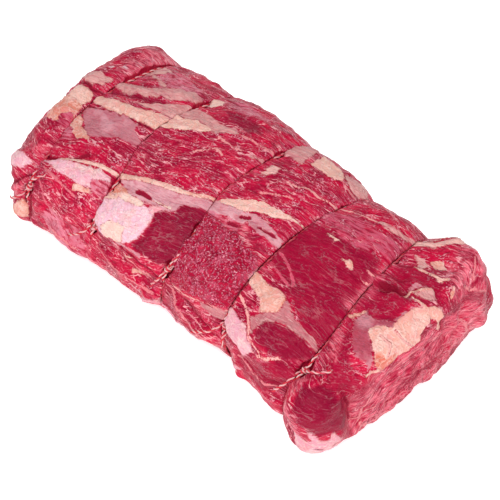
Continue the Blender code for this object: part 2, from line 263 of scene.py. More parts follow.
# %% From the picture to the skin
def picture_points(points):
    """Where the camera sees points of the roll, in pixels from the picture's top left."""
    offset = points - camera_place
    depth = -(offset @ toward_camera)
    across = PICTURE / 2 + FOCAL_PIXELS * (offset @ picture_right) / depth
    down = PICTURE / 2 - FOCAL_PIXELS * (offset @ picture_up) / depth
    return np.stack([across, down], axis=-1)


def seen_skin():
    """Places that face the camera, as along and millimetres round, and their picture points."""
    along = np.linspace(*REACH, SEEN_RINGS)
    turn = np.linspace(-0.5, 0.5, SEEN_ANGLES)
    place = plain_skin(along, turn)
    normal, _ = skin_frame(along, turn)
    seen = np.einsum("ijk,ijk->ij", normal, camera_place - place) > 0
    where = np.stack(np.meshgrid(along, turn * GIRTH, indexing="ij"), axis=-1)
    return where[seen], picture_points(place[seen])


SEEN_PLACES, SEEN_PIXELS = seen_skin()


def on_skin(pixels):
    """The skin places that lie under picture points."""
    pixels = np.asarray(pixels, float)
    nearest = [int(np.argmin(((SEEN_PIXELS - pixel) ** 2).sum(axis=1))) for pixel in pixels]
    return SEEN_PLACES[nearest]


print(len(SEEN_PLACES), "places face the camera")

# %% [markdown]
# Over the plain roll lie the broad forms: lobes where the rolled sheet of meat folds over, creases between
# them, and a dimple under each knot. They are the solid's own forms, with the same names and sizes. They
# could be left to noise, but the lobes at the ends are what a viewer knows the joint by.

# %% Broad forms: name, line as (along, degrees round), half width, height
FORMS = (
    ("nose lobe", ((140, 72), (150, 88)), 30, 6.0),
    ("crease over the nose", ((124, 46), (144, 48), (158, 58), (166, 74), (168, 96)), 10, -2.5),
    ("far ear", ((132, -62), (150, -66)), 26, 5.0),
    ("crease under the ear", ((116, -30), (136, -42), (158, -46), (172, -52)), 8, -2.5),
    ("hole behind the flap", ((119, -17), (125, -15), (131, -13)), 7, -4.5),
    ("flap", ((126, -6), (138, -8), (148, -13)), 8, 2.0),
    ("brow of the cut end", ((150, 20), (152, 0), (152, -16)), 12, 2.0),
    ("far left corner", ((-137, -52), (-135, -70)), 24, 4.0),
    ("left lobe", ((-142, 56), (-140, 72)), 16, 3.0),
    ("crease in the left end", ((-152, 44), (-138, 46), (-128, 44)), 6, -2.0),
    ("lower left lobe", ((-136, 92), (-130, 100)), 16, 2.0),
    ("belly between ties 1 and 2", ((-98, 60), (-92, 76)), 24, 2.0),
    ("shoulder between ties 2 and 3", ((-44, 44), (-30, 56)), 26, 2.5),
    ("shoulder between ties 3 and 4", ((22, 40), (34, 54)), 24, 2.5),
    ("belly between ties 4 and 5", ((82, 44), (88, 64)), 24, 2.5),
    ("seam along the near side", ((-60, 80), (-32, 79), (-6, 82), (14, 80), (40, 78), (52, 78)), 7, -1.8),
    ("fat tag by tie 3", ((-7, 96), (-10, 104)), 8, 3.5),
    ("fat tag by tie 4", ((70, 96), (72, 104)), 8, 3.5),
)
KNOTS = (68.0, 75.0, 67.0, 77.0, 56.0)
KNOT_DIMPLE = 9.0
KNOT_DIMPLE_DEPTH = 2.0
SWELL_LENGTH = 38.0
SWELL_HEIGHT = 1.6
BASE_FADE = 10.0
GROOVE_DEPTHS = (
    (3.6, 3.4, 2.6, 2.8, 3.1, 3.0, 3.4, 3.8),
    (4.2, 2.8, 3.4, 3.0, 3.1, 3.0, 3.4, 3.6),
    (3.0, 3.4, 2.5, 2.8, 3.1, 3.0, 3.4, 3.6),
    (4.2, 4.2, 3.4, 3.0, 3.1, 3.0, 3.4, 3.8),
    (4.4, 4.2, 3.6, 3.0, 3.1, 3.0, 3.6, 4.2),
)
GROOVE_FLOOR = 1.8
NOISE_STEP = (17.3, 5.1, 9.7)
print(len(FORMS), "broad forms")


# %% Lines and lumps on the roll
def skin_line(places, spacing=3.0):
    """Points of the roll, as xyz, along a line that is given as along and degrees round."""
    places = np.array(places, float)
    steps = max(2, int(np.hypot(*np.ptp(places, axis=0)) / spacing))
    at = np.linspace(0, len(places) - 1, steps)
    along = np.interp(at, np.arange(len(places)), places[:, 0])
    turn = np.interp(at, np.arange(len(places)), places[:, 1]) / 360
    return np.array([plain_skin(np.array([a]), np.array([t]))[0, 0] for a, t in zip(along, turn)])


def near_line(points, line, half_width):
    """How close points lie to a line: 1 on it, falling smoothly to 0 at the half width."""
    low, high = line.min(axis=0) - half_width, line.max(axis=0) + half_width
    close = ((points > low) & (points < high)).all(axis=-1)
    found = points[close]
    distance = np.full(len(found), np.inf)
    for start, end in zip(line[:-1], line[1:]):
        run = end - start
        share = np.clip(((found - start) @ run) / (run @ run), 0, 1)
        distance = np.minimum(distance, np.linalg.norm(found - start - share[:, None] * run, axis=1))
    nearness = np.zeros(points.shape[:-1])
    nearness[close] = np.clip(1 - (distance / half_width) ** 2, 0, 1) ** 2
    return nearness


def lumps(points, size, seed=0):
    """Smooth noise of about -1 to 1 whose lumps have this size in millimetres, or a size each way."""
    at = points / np.asarray(size, float) + np.array(NOISE_STEP) * seed
    values = np.array([noise.noise(p) for p in at.reshape(-1, 3).tolist()])
    return 2 * values.reshape(points.shape[:-1])


def at_knot(tie):
    """A very short line at a tie's knot."""
    return ((tie_along(tie), KNOTS[tie] - 1), (tie_along(tie), KNOTS[tie] + 1))


print("noise in the middle of the roll:", round(float(lumps(np.zeros((1, 3)), 1.0, 1)[0]), 2))

# %% The broad forms raised
RAISED_LINES = [(skin_line(places), half_width, rise) for _, places, half_width, rise in FORMS]
RAISED_LINES += [(skin_line(at_knot(tie)), KNOT_DIMPLE, -KNOT_DIMPLE_DEPTH) for tie in range(TIE_COUNT)]


def broad_height(place):
    """How far the broad forms stand out from the plain roll."""
    height = sum(rise * near_line(place, line, half_width) for line, half_width, rise in RAISED_LINES)
    height = height + SWELL_HEIGHT / 2 * lumps(place, SWELL_LENGTH)
    return height * np.clip(place[..., 2] / BASE_FADE, 0, 1)


print(len(RAISED_LINES), "raised lines")


# %% The fine grid of the skin
FINE_REACH = 4.9
FINE_STEP = 0.7
PLAIN_STEP = 1.46
SEEN_TURN = 0.35
SEEN_COLUMNS = 240
BASE_COLUMNS = 60
TIP_GAP = 0.3


def ring_places():
    """Rings from tip to tip, close together across each tie."""
    rings = []
    stops = [REACH[0] + TIP_GAP]
    for tie in range(TIE_COUNT):
        at = tie_along(tie)
        rings += list(np.arange(at - FINE_REACH, at + FINE_REACH + 0.1, FINE_STEP))
        stops += [at - FINE_REACH, at + FINE_REACH]
    stops.append(REACH[1] - TIP_GAP)
    for start, end in zip(stops[::2], stops[1::2]):
        count = round((end - start) / PLAIN_STEP)
        rings += list(np.linspace(start, end, count + 1)[1:-1])
    return np.array([stops[0], *sorted(rings), stops[-1]])


RING = ring_places()
TURN = np.concatenate(
    [
        np.linspace(-SEEN_TURN, SEEN_TURN, SEEN_COLUMNS, endpoint=False),
        np.linspace(SEEN_TURN, 1 - SEEN_TURN, BASE_COLUMNS, endpoint=False),
    ]
)
TURN = (TURN + 0.5) % 1.0 - 0.5
ROUND = TURN * GIRTH
plain = plain_skin(RING, TURN)
normal, lengthwise = skin_frame(RING, TURN)
print(len(RING), "rings by", len(TURN), "columns:", 2 * len(RING) * len(TURN), "triangles")

# %% [markdown]
# Each mark on the skin is a patch of one stuff: lean, fat, silverskin, a vein or a slit, whose dark red is
# painted shade in a gap. A few pale marks are painted highlights: the shines, the sheen, the glints and two
# lines on ridges in the fat. One lighter corner is painted light. The marks could be painted into an image,
# but an outline with a name is easier to read and to move. A patch is an outline or a line with a half
# width, given by the picture points where its corners are seen, and its tint says how warm it is. Its entry
# names its stuff, a tint from 0 to 1 and a half width in millimetres, or 0 for an outline. They lie in this
# order, so a later one covers an earlier one.

# %% What the marks are made of
# name: how far it stands out from the lean, and how soft its edge is, both in millimetres
STUFFS = {
    "dark_lean": (-0.5, 1.6),
    "pale_lean": (0.3, 3.0),
    "crumbly_lean": (0.3, 1.6),
    "membrane": (0.25, 1.2),
    "silverskin": (0.35, 0.5),
    "grey_fat": (0.7, 0.6),
    "pink_fat": (1.0, 0.6),
    "cream_fat": (0.9, 0.35),
    "vein": (0.4, 0.3),
    "slit": (-1.3, 0.4),
}
print(len(STUFFS), "stuffs")

# %% The narrower end, by tie 1: name, stuff, tint, half width and picture points
END_MARKS = (
    ("grey cap", "grey_fat", 0.6, 0, ((82, 78), (92, 73), (103, 74), (110, 80), (101, 86), (87, 83))),
    ("line under the grey cap", "slit", 0.3, 0.8, ((78, 81), (92, 86), (102, 90))),
    ("peach cap", "cream_fat", 0.5, 0, ((79, 85), (92, 90), (90, 97), (80, 105), (70, 99), (69, 93))),
    ("warm cap", "cream_fat", 0.1, 0, ((69, 93), (70, 99), (80, 105), (69, 118), (55, 121), (46, 116),
        (55, 104))),
    ("dull edge of the cap", "membrane", 0.2, 0, ((60, 116), (72, 112), (67, 120), (56, 125))),
    ("striped fold", "pale_lean", 0.5, 0, ((28, 141), (44, 146), (42, 156), (27, 152))),
    ("white knob", "pink_fat", 0.6, 0, ((13, 160), (20, 151), (28, 153), (34, 161), (27, 168), (17, 166))),
    ("fold over the knot", "slit", 0.3, 0.9, ((10, 181), (20, 179), (30, 174))),
    ("fold by the knot", "slit", 0.3, 0.7, ((11, 192), (22, 191), (28, 186))),
    ("pale folds", "pale_lean", 0.7, 0, ((9, 182), (25, 180), (26, 188), (12, 199))),
    ("peach heel", "cream_fat", 0.25, 0, ((14, 204), (23, 197), (29, 200), (31, 210), (23, 213), (15, 209))),
    ("crease under tie 1", "slit", 0.3, 1.3, ((31, 196), (31, 208), (33, 222))),
    # Painted light: pale lean that lightens the shaded far corner.
    ("paler corner", "pale_lean", 0.8, 0, ((116, 68), (138, 56), (162, 50), (178, 64), (152, 70),
        (130, 80))),
    # Painted glints: two tiny pale spots, in pink fat's colour, where the wet corner catches the light.
    ("corner fleck", "pink_fat", 0.7, 1.2, ((110, 66), (113, 65))),
    ("corner fleck 2", "pink_fat", 0.7, 1.0, ((124, 64), (126, 66))),
    ("corner edge", "pale_lean", 0.6, 1.5, ((150, 49), (160, 48), (172, 54), (180, 66))),
)
print(len(END_MARKS), "marks")

# %% Between ties 1 and 2
SECOND_MARKS = (
    ("pale haze by the bands", "membrane", 0.8, 0, ((156, 77), (176, 72), (190, 79), (202, 93), (180, 90),
        (162, 87))),
    ("far grey leaf", "grey_fat", 0.6, 0, ((143, 75), (153, 69), (165, 68), (172, 72), (165, 75),
        (155, 76))),
    ("leaf's tail", "grey_fat", 0.5, 1.1, ((152, 75), (160, 82), (165, 87))),
    ("grey band", "grey_fat", 0.4, 0, ((112, 83), (130, 84), (149, 89), (180, 90), (194, 91), (203, 101),
        (199, 105), (172, 100), (130, 94))),
    ("red between the bands", "dark_lean", 0.5, 1.9, ((109, 89), (120, 92), (132, 95), (150, 99),
        (166, 103))),
    ("grey upper band", "grey_fat", 0.5, 0, ((100, 95), (125, 101), (150, 104), (180, 104), (191, 105),
        (170, 118))),
    ("broad cream band", "cream_fat", 0.45, 0, ((91, 97), (100, 95), (120, 103), (145, 111), (168, 117),
        (158, 129), (149, 126), (126, 118), (103, 109))),
    ("shadow under the cream band", "slit", 0.4, 0.7, ((86, 105), (103, 109), (126, 118), (154, 130))),
    ("mauve silverskin", "silverskin", 0.3, 0, ((86, 109), (98, 108), (115, 113), (138, 125), (134, 131),
        (136, 138), (139, 142), (132, 143), (115, 138), (98, 136), (86, 135), (82, 123))),
    ("peach by the silverskin", "cream_fat", 0.2, 0, ((80, 108), (86, 109), (82, 123), (86, 135), (89, 140),
        (78, 139), (72, 134), (74, 119))),
    ("pink by tie 1", "membrane", 0.7, 0, ((70, 121), (74, 130), (72, 141), (54, 142), (60, 132))),
    ("shadow over the cream strip", "slit", 0.4, 0.9, ((44, 156), (60, 160), (71, 158), (88, 154))),
    ("cream strip", "cream_fat", 0.6, 1.5, ((62, 160), (83, 162), (100, 166), (114, 174))),
    ("pale belly fat", "pink_fat", 0.6, 0, ((47, 162), (60, 161), (80, 165), (99, 170), (110, 178),
        (106, 186), (95, 189), (85, 187), (71, 178), (57, 170))),
    ("peach under the belly fat", "cream_fat", 0.2, 0, ((78, 185), (90, 188), (94, 192), (84, 193),
        (76, 190))),
    ("shadow by tie 2", "membrane", 0.9, 0, ((93, 180), (108, 181), (104, 196), (92, 191))),
    ("flank membrane", "membrane", 0.8, 0, ((41, 211), (55, 209), (71, 223), (85, 236), (88, 252), (80, 249),
        (64, 239), (49, 227))),
    ("pale strand", "vein", 0.2, 0.4, ((46, 168), (56, 176), (66, 186), (76, 196))),
    ("pale strand 2", "vein", 0.1, 0.4, ((40, 176), (44, 190), (48, 204), (58, 214))),
    ("flank strand", "vein", 0.3, 0.4, ((52, 222), (66, 233), (82, 244))),
)
print(len(SECOND_MARKS), "marks")

# %% Between ties 2 and 3
THIRD_MARKS = (
    ("grey top", "grey_fat", 0.4, 0, ((170, 117), (191, 107), (202, 112), (219, 122), (229, 128), (243, 135),
        (229, 134), (212, 132), (196, 124))),
    ("cream top", "cream_fat", 0.5, 0, ((155, 130), (168, 118), (182, 118), (205, 125), (214, 131),
        (200, 132), (178, 131))),
    ("far cream crumbs", "cream_fat", 0.7, 0, ((200, 104), (212, 101), (224, 103), (224, 107), (212, 107))),
    ("far mauve edge", "membrane", 0.5, 0, ((226, 103), (245, 103), (264, 115), (278, 124), (258, 119),
        (238, 113))),
    ("wet dark corner", "dark_lean", 0.5, 0, ((226, 112), (240, 116), (258, 124), (262, 136), (248, 134),
        (232, 122))),
    ("dull patch", "grey_fat", 0.4, 1.0, ((251, 157), (259, 158))),
    ("vein across", "vein", 0.6, 0.35, ((194, 152), (206, 150), (217, 148), (222, 155))),
    ("vein down", "vein", 0.5, 0.35, ((218, 136), (227, 143), (242, 151))),
    ("vein right", "vein", 0.4, 0.5, ((243, 136), (256, 144), (272, 153))),
    ("lilac under the seam", "silverskin", 0.6, 0, ((120, 179), (140, 181), (156, 184), (181, 192),
        (207, 198), (217, 202), (210, 211), (194, 207), (185, 206), (179, 213), (168, 211), (149, 207),
        (130, 199))),
    ("cream seam", "cream_fat", 0.5, 1.9, ((119, 177), (130, 179), (143, 181), (162, 186), (181, 193))),
    ("cream seam, thin end", "cream_fat", 0.4, 1.4, ((181, 193), (198, 197), (217, 200))),
    ("dark slit", "slit", 0.6, 1.5, ((138, 193), (145, 196), (151, 200))),
    ("warm shoulder", "cream_fat", 0.1, 0, ((115, 185), (121, 184), (128, 192), (131, 199), (119, 196),
        (107, 203))),
    ("big pale fat", "pink_fat", 0.9, 0, ((101, 205), (109, 198), (119, 196), (138, 205), (152, 209),
        (157, 213), (152, 226), (141, 237), (130, 242), (115, 241), (103, 234), (97, 221))),
    ("pink rim", "pink_fat", 0.3, 0, ((150, 206), (168, 209), (160, 214), (155, 218), (150, 212))),
    ("cream spot", "cream_fat", 0.9, 0, ((119, 196), (130, 196), (147, 204), (145, 210), (135, 207),
        (125, 200))),
    ("cream spot by the tie", "cream_fat", 0.6, 1.2, ((109, 200), (120, 198))),
    ("lower cream spot", "cream_fat", 0.8, 0, ((103, 226), (112, 221), (122, 223), (128, 228), (126, 234),
        (124, 241), (115, 241), (105, 236))),
    ("cream sliver", "cream_fat", 0.8, 0.6, ((154, 203), (171, 209))),
    ("dark muscle", "dark_lean", 0.35, 0, ((156, 215), (165, 213), (174, 216), (181, 206), (196, 206),
        (206, 213), (197, 224), (184, 240), (178, 256), (168, 264), (157, 265), (145, 257), (132, 245),
        (144, 237), (151, 227))),
    ("grey under the fat", "silverskin", 0.3, 1.2, ((116, 243), (128, 247), (140, 255))),
    ("crumb of fat", "cream_fat", 0.5, 1.1, ((125, 256), (131, 257))),
    ("flat crumb of fat", "cream_fat", 0.3, 1.5, ((132, 272), (139, 273), (146, 276))),
    ("flank line", "vein", 0.4, 0.5, ((120, 254), (133, 266), (150, 279))),
    ("flank line 2", "vein", 0.3, 0.4, ((100, 248), (116, 266), (136, 281), (152, 290))),
    ("flank gap", "slit", 0.5, 0.8, ((120, 247), (136, 260), (152, 272), (160, 280))),
    ("heel rim", "pale_lean", 0.7, 1.2, ((92, 240), (98, 256), (112, 272))),
    ("grey heel", "silverskin", 0.5, 1.3, ((140, 289), (150, 294), (158, 295))),
    ("tag by tie 3", "pink_fat", 0.3, 1.8, ((146, 296), (154, 295), (163, 301))),
)
print(len(THIRD_MARKS), "marks")

# %% Between ties 3 and 4
FOURTH_MARKS = (
    ("far dull patch", "grey_fat", 0.4, 0, ((283, 155), (294, 149), (312, 149), (320, 153), (308, 160),
        (302, 164), (294, 160))),
    ("far red lump", "pale_lean", 0.4, 1.6, ((307, 162), (316, 158))),
    ("far peach fat", "cream_fat", 0.5, 0, ((309, 164), (317, 161), (324, 158), (334, 163), (345, 175),
        (343, 183), (334, 180), (322, 171))),
    ("far dull fat", "grey_fat", 0.5, 0, ((345, 175), (354, 179), (366, 190), (365, 198), (356, 196),
        (348, 185))),
    ("pale spot", "grey_fat", 0.8, 0, ((262, 175), (271, 167), (282, 169), (277, 174))),
    ("long vein", "vein", 0.7, 0.8, ((288, 183), (297, 187), (310, 190), (320, 199), (330, 204),
        (337, 209))),
    ("short vein", "vein", 0.5, 0.6, ((260, 192), (277, 195), (293, 199))),
    ("vein to the tie", "vein", 0.4, 0.5, ((345, 184), (352, 194), (358, 203))),
    ("lilac under the seam", "silverskin", 0.5, 0, ((211, 206), (225, 201), (234, 204), (246, 211),
        (256, 215), (272, 228), (280, 241), (278, 247), (266, 239), (251, 228), (240, 223), (225, 219),
        (214, 214))),
    ("cream seam", "cream_fat", 0.6, 0, ((219, 203), (236, 199), (251, 201), (264, 203), (277, 209),
        (290, 217), (303, 226), (289, 221), (271, 218), (256, 212), (243, 213), (234, 207))),
    ("pink by tie 3", "membrane", 0.8, 0, ((211, 212), (225, 215), (240, 223), (237, 234), (222, 226),
        (214, 220))),
    ("slot in the lilac", "slit", 0.6, 1.3, ((241, 216), (250, 218))),
    ("slot below it", "slit", 0.6, 1.3, ((228, 222), (237, 225))),
    ("slots by tie 4", "slit", 0.5, 0.9, ((258, 226), (266, 231), (274, 236))),
    ("upright tag", "pale_lean", 0.9, 0, ((237, 230), (242, 223), (248, 222), (250, 231), (248, 241),
        (241, 238))),
    ("crumbly muscle", "crumbly_lean", 0.5, 0, ((213, 216), (224, 226), (236, 234), (243, 243), (256, 256),
        (252, 268), (243, 283), (232, 297), (225, 305), (205, 300), (185, 290), (174, 275), (171, 262),
        (185, 244), (200, 226))),
    ("pink slip by tie 4", "pink_fat", 0.2, 1.4, ((247, 275), (256, 267))),
    ("flank edge", "vein", 0.7, 0.6, ((171, 282), (181, 292), (196, 299), (212, 306), (228, 308))),
    ("flank sheet", "grey_fat", 0.1, 0, ((200, 301), (212, 306), (228, 309), (226, 321), (214, 316),
        (203, 309))),
    ("flank gap", "slit", 0.4, 0.6, ((170, 279), (180, 300), (196, 320), (214, 334))),
    ("flank line", "vein", 0.3, 0.4, ((168, 285), (176, 303), (190, 322), (208, 338), (222, 348))),
    ("heel rim", "pink_fat", 0.3, 1.3, ((158, 299), (167, 309), (177, 321), (190, 331), (204, 340),
        (218, 350))),
)
print(len(FOURTH_MARKS), "marks")

# %% Between ties 4 and 5
FIFTH_MARKS = (
    ("dark flank", "dark_lean", 0.85, 0, ((236, 354), (262, 360), (292, 364), (286, 392), (262, 390),
        (244, 374))),
    ("smooth dark top", "dark_lean", 0.78, 0, ((268, 256), (290, 232), (318, 226), (352, 240), (380, 258),
        (362, 290), (340, 322), (324, 346), (304, 328), (292, 302), (284, 280))),
    ("peach fat", "cream_fat", 0.35, 0, ((249, 279), (257, 271), (263, 277), (271, 287), (282, 293),
        (288, 305), (279, 314), (271, 315), (261, 312), (262, 301), (255, 292))),
    ("dull sheet round the muscle", "grey_fat", 0.05, 0, ((252, 318), (262, 315), (280, 314), (288, 303),
        (296, 322), (311, 338), (319, 351), (299, 336), (286, 327), (273, 323), (260, 327), (254, 335))),
    ("oval muscle", "dark_lean", 0.45, 0, ((258, 332), (267, 323), (280, 324), (294, 332), (305, 340),
        (311, 351), (303, 357), (286, 358), (270, 351), (260, 343))),
    ("peach edge", "vein", 0.8, 0.5, ((242, 292), (246, 308), (250, 321), (253, 338), (262, 352))),
    ("lilac pink fat", "pink_fat", 0.5, 0, ((230, 310), (237, 312), (243, 319), (249, 328), (253, 341),
        (256, 351), (245, 353), (235, 343), (227, 331))),
    ("cream streak", "vein", 1.0, 0.6, ((260, 355), (270, 358), (280, 358))),
    ("cream fleck", "cream_fat", 0.5, 0, ((328, 235), (334, 237), (342, 243), (335, 243))),
    ("second fleck", "cream_fat", 0.4, 0, ((342, 259), (352, 261), (355, 270), (347, 266))),
    ("curl by the tie", "vein", 0.5, 0.5, ((366, 270), (372, 276), (369, 282), (362, 280))),
    ("long vein", "vein", 0.7, 0.8, ((337, 209), (352, 213), (366, 217), (380, 224))),
    ("long vein, broad end", "grey_fat", 0.5, 1.7, ((380, 224), (394, 233), (412, 244))),
    ("squiggle", "vein", 0.5, 0.4, ((355, 220), (359, 225), (367, 226))),
    ("fork", "vein", 0.0, 0.3, ((273, 265), (283, 278), (289, 287), (294, 285), (290, 270), (283, 255))),
    ("top line", "vein", 0.2, 0.3, ((380, 208), (388, 216), (396, 225))),
    ("mauve top", "membrane", 0.1, 0, ((322, 213), (350, 216), (372, 226), (398, 246), (388, 258),
        (356, 248), (335, 234))),
    ("sheen by tie 5", "pale_lean", 0.9, 0, ((386, 262), (392, 268), (376, 288), (354, 314), (343, 304),
        (362, 284))),
    ("tag by tie 4", "pink_fat", 0.3, 1.8, ((230, 362), (238, 368))),
    ("low gap", "slit", 0.4, 0.6, ((246, 362), (262, 378), (282, 392))),
    ("low line", "vein", 0.3, 0.5, ((238, 356), (252, 374), (272, 390))),
)
print(len(FIFTH_MARKS), "marks")

# %% The cut end
CUT_END_MARKS = (
    ("smooth dark flank of the last fold", "dark_lean", 0.85, 0, ((340, 340), (372, 302), (398, 268),
        (416, 258), (436, 272), (440, 300), (408, 306), (388, 322), (366, 318), (350, 322), (350, 360),
        (366, 386), (346, 398), (326, 372), (330, 352))),
    ("grey ridge", "grey_fat", 0.95, 2.5, ((413, 248), (432, 246), (452, 247), (466, 250), (472, 256))),
    ("ridge line", "cream_fat", 0.8, 0.8, ((411, 246), (430, 243.5), (452, 243.5), (462, 246))),
    ("dull wedge", "grey_fat", 0.6, 0, ((415, 254), (423, 256), (429, 264), (421, 265))),
    ("peach wedge", "cream_fat", 0.3, 0, ((429, 259), (437, 258), (453, 264), (449, 267), (435, 265))),
    ("cream vein", "cream_fat", 0.4, 1.0, ((415, 266), (429, 272), (441, 281))),
    ("vein's fork", "cream_fat", 0.2, 1.2, ((444, 281), (455, 282), (451, 291), (448, 298))),
    ("hole", "slit", 0.2, 2.0, ((384, 287), (394, 288), (399, 292), (405, 296))),
    ("hole's tail", "slit", 0.9, 1.0, ((405, 297), (412, 300), (419, 301), (425, 306))),
    ("flap", "grey_fat", 0.5, 0, ((408, 294), (417, 291), (431, 289), (436, 295), (434, 302), (423, 301),
        (412, 297))),
    ("flap's fringe", "cream_fat", 0.35, 1.2, ((404, 298), (412, 294), (421, 291), (431, 290))),
    ("flap's root", "cream_fat", 0.4, 0.9, ((412, 300), (417, 304), (423, 309))),
    ("mauve by the hole", "silverskin", 0.3, 1.0, ((409, 288), (416, 285), (424, 287))),
    ("film over the fat", "silverskin", 0.0, 0, ((353, 321), (366, 313), (374, 320), (392, 323), (404, 313),
        (414, 307), (414, 314), (392, 333), (370, 336), (373, 354), (370, 369), (364, 362), (356, 357),
        (353, 344))),
    ("big peach fat", "cream_fat", 0.4, 0, ((367, 333), (377, 326), (391, 328), (402, 317), (412, 309),
        (433, 309), (442, 316), (442, 323), (436, 328), (433, 320), (428, 318), (418, 334), (419, 340),
        (409, 350), (398, 357), (383, 369), (375, 366), (373, 356), (371, 341))),
    ("warm foot of the fat", "cream_fat", 0.0, 0, ((375, 354), (386, 356), (396, 354), (392, 363),
        (383, 370), (376, 367))),
    ("flap's pale rim", "cream_fat", 0.2, 1.1, ((353, 319), (360, 316), (366, 313))),
    # Painted highlights: pale lines along the two ridges in the fat, where they catch the light.
    ("crease in the fat", "vein", 1.0, 0.4, ((380, 336), (389, 345), (385, 357))),
    ("second crease in the fat", "vein", 0.9, 0.3, ((393, 331), (401, 341), (411, 346))),
    ("foot crumb", "cream_fat", 0.4, 1.3, ((366, 376), (371, 373), (378, 371))),
    ("gap under the fat", "slit", 0.6, 1.3, ((442, 323), (446, 330), (448, 338))),
    ("face", "pale_lean", 0.4, 0, ((452, 290), (476, 270), (486, 290), (484, 330), (462, 356), (448, 345),
        (452, 318))),
    ("ear face", "pale_lean", 0.7, 0, ((454, 254), (474, 251), (480, 262), (478, 284), (462, 298),
        (452, 288))),
    ("pale ear", "pale_lean", 1.0, 0, ((446, 262), (460, 257), (468, 268), (462, 284), (453, 293),
        (447, 284))),
    ("face line", "vein", 0.4, 0.7, ((466, 285), (473, 291), (484, 292))),
    ("face line 2", "vein", 0.3, 0.6, ((470, 262), (472, 275), (476, 290))),
    ("dark rim of the face", "dark_lean", 0.8, 2.2, ((475, 284), (483, 275), (488, 287), (486, 300))),
    ("long layer", "vein", 0.1, 0.5, ((366, 405), (386, 391), (408, 372), (428, 350), (444, 335))),
    ("long layer 2", "vein", 0.2, 0.5, ((378, 412), (398, 396), (420, 376), (434, 358))),
    ("layer gap", "slit", 0.4, 0.9, ((372, 416), (388, 402), (404, 388), (417, 372))),
    ("pink face", "pale_lean", 0.6, 0, ((360, 425), (380, 405), (410, 380), (436, 352), (444, 366),
        (420, 396), (384, 424))),
    ("nose", "dark_lean", 0.3, 0, ((300, 402), (308, 388), (326, 386), (346, 400), (352, 414), (344, 424),
        (318, 427), (302, 418))),
    ("nose fat", "pink_fat", 0.3, 0, ((291, 430), (298, 428), (303, 434), (311, 432), (309, 424), (317, 431),
        (326, 432), (329, 424), (334, 431), (342, 432), (332, 441), (318, 448), (304, 448), (295, 441))),
    ("red spot in the nose fat", "dark_lean", 0.85, 1.0, ((299, 443), (305, 446))),
    ("red streak in the nose fat", "dark_lean", 0.85, 0.8, ((314, 441), (321, 442))),
    ("gap by the layers", "slit", 0.9, 0.5, ((348, 396), (352, 408), (352, 422))),
    ("lowest layer", "vein", 0.3, 0.9, ((352, 437), (382, 416), (408, 398), (430, 375))),
    ("red layer", "dark_lean", 0.85, 1.1, ((340, 436), (372, 414), (400, 394), (424, 370), (442, 346))),
    ("red layer above", "dark_lean", 0.85, 0.9, ((392, 386), (412, 366), (428, 350), (440, 336))),
    ("layer streak", "vein", 0.4, 0.6, ((330, 438), (356, 420), (380, 402))),
    ("nose side", "pale_lean", 0.6, 0, ((287, 403), (294, 396), (300, 412), (300, 428), (291, 424))),
    ("nose shine", "pale_lean", 0.7, 0, ((297, 392), (304, 378), (310, 382), (304, 396))),
    ("tie 5 shine", "pale_lean", 0.8, 0, ((328, 352), (338, 330), (345, 333), (338, 352), (336, 362))),
    ("nose crease", "slit", 0.9, 0.5, ((326, 374), (331, 385))),
)
print(len(CUT_END_MARKS), "marks")

# %% [markdown]
# The far side, the underside and the left end aren't in the picture. They could be left plain, but a turned
# joint would then look unfinished, so they get marks of the same stuffs: long patches that lie along the
# roll, as muscles do, from a seeded random generator, so that they come out the same every time.

# %% Sizes of the marks where the camera can't see
HIDDEN_COUNT = 64
END_EVERY = 8
UNDER_EVERY = 3
TIP_MARGIN = 6.0
HIDDEN_SHARES = {
    "pink_fat": 0.14,
    "cream_fat": 0.16,
    "silverskin": 0.14,
    "grey_fat": 0.1,
    "membrane": 0.16,
    "dark_lean": 0.14,
    "pale_lean": 0.08,
    "crumbly_lean": 0.08,
}
HIDDEN_BANDS = ((-190.0, -92.0), (128.0, 195.0))
HIDDEN_END = -150.0
END_BAND = (-90.0, 110.0)
PATCH_ALONG = (-150.0, 138.0)
PATCH_SIZES = ((12.0, 34.0), (3.0, 9.0))
END_SIZES = ((9.0, 16.0), (2.5, 6.0))
PATCH_CORNERS = 12
VEIN_COUNT = 30
VEIN_ALONG = (-150.0, 150.0)
VEIN_STEPS = 5
VEIN_STEP = (5.0, 11.0)
VEIN_DRIFT = (-4.0, 4.0)
VEIN_TINTS = (0.2, 0.8)
VEIN_HALF_WIDTHS = (0.4, 0.9)
CUT_END_FROM = 161.0
CUT_END_MARGINS = (12.0, 20.0)
BACK = 199.0
PATCH_RAGGED = (0.65, 1.25)
PATCH_LEAN = 24.0
print(HIDDEN_COUNT, "patches and", VEIN_COUNT, "veins")


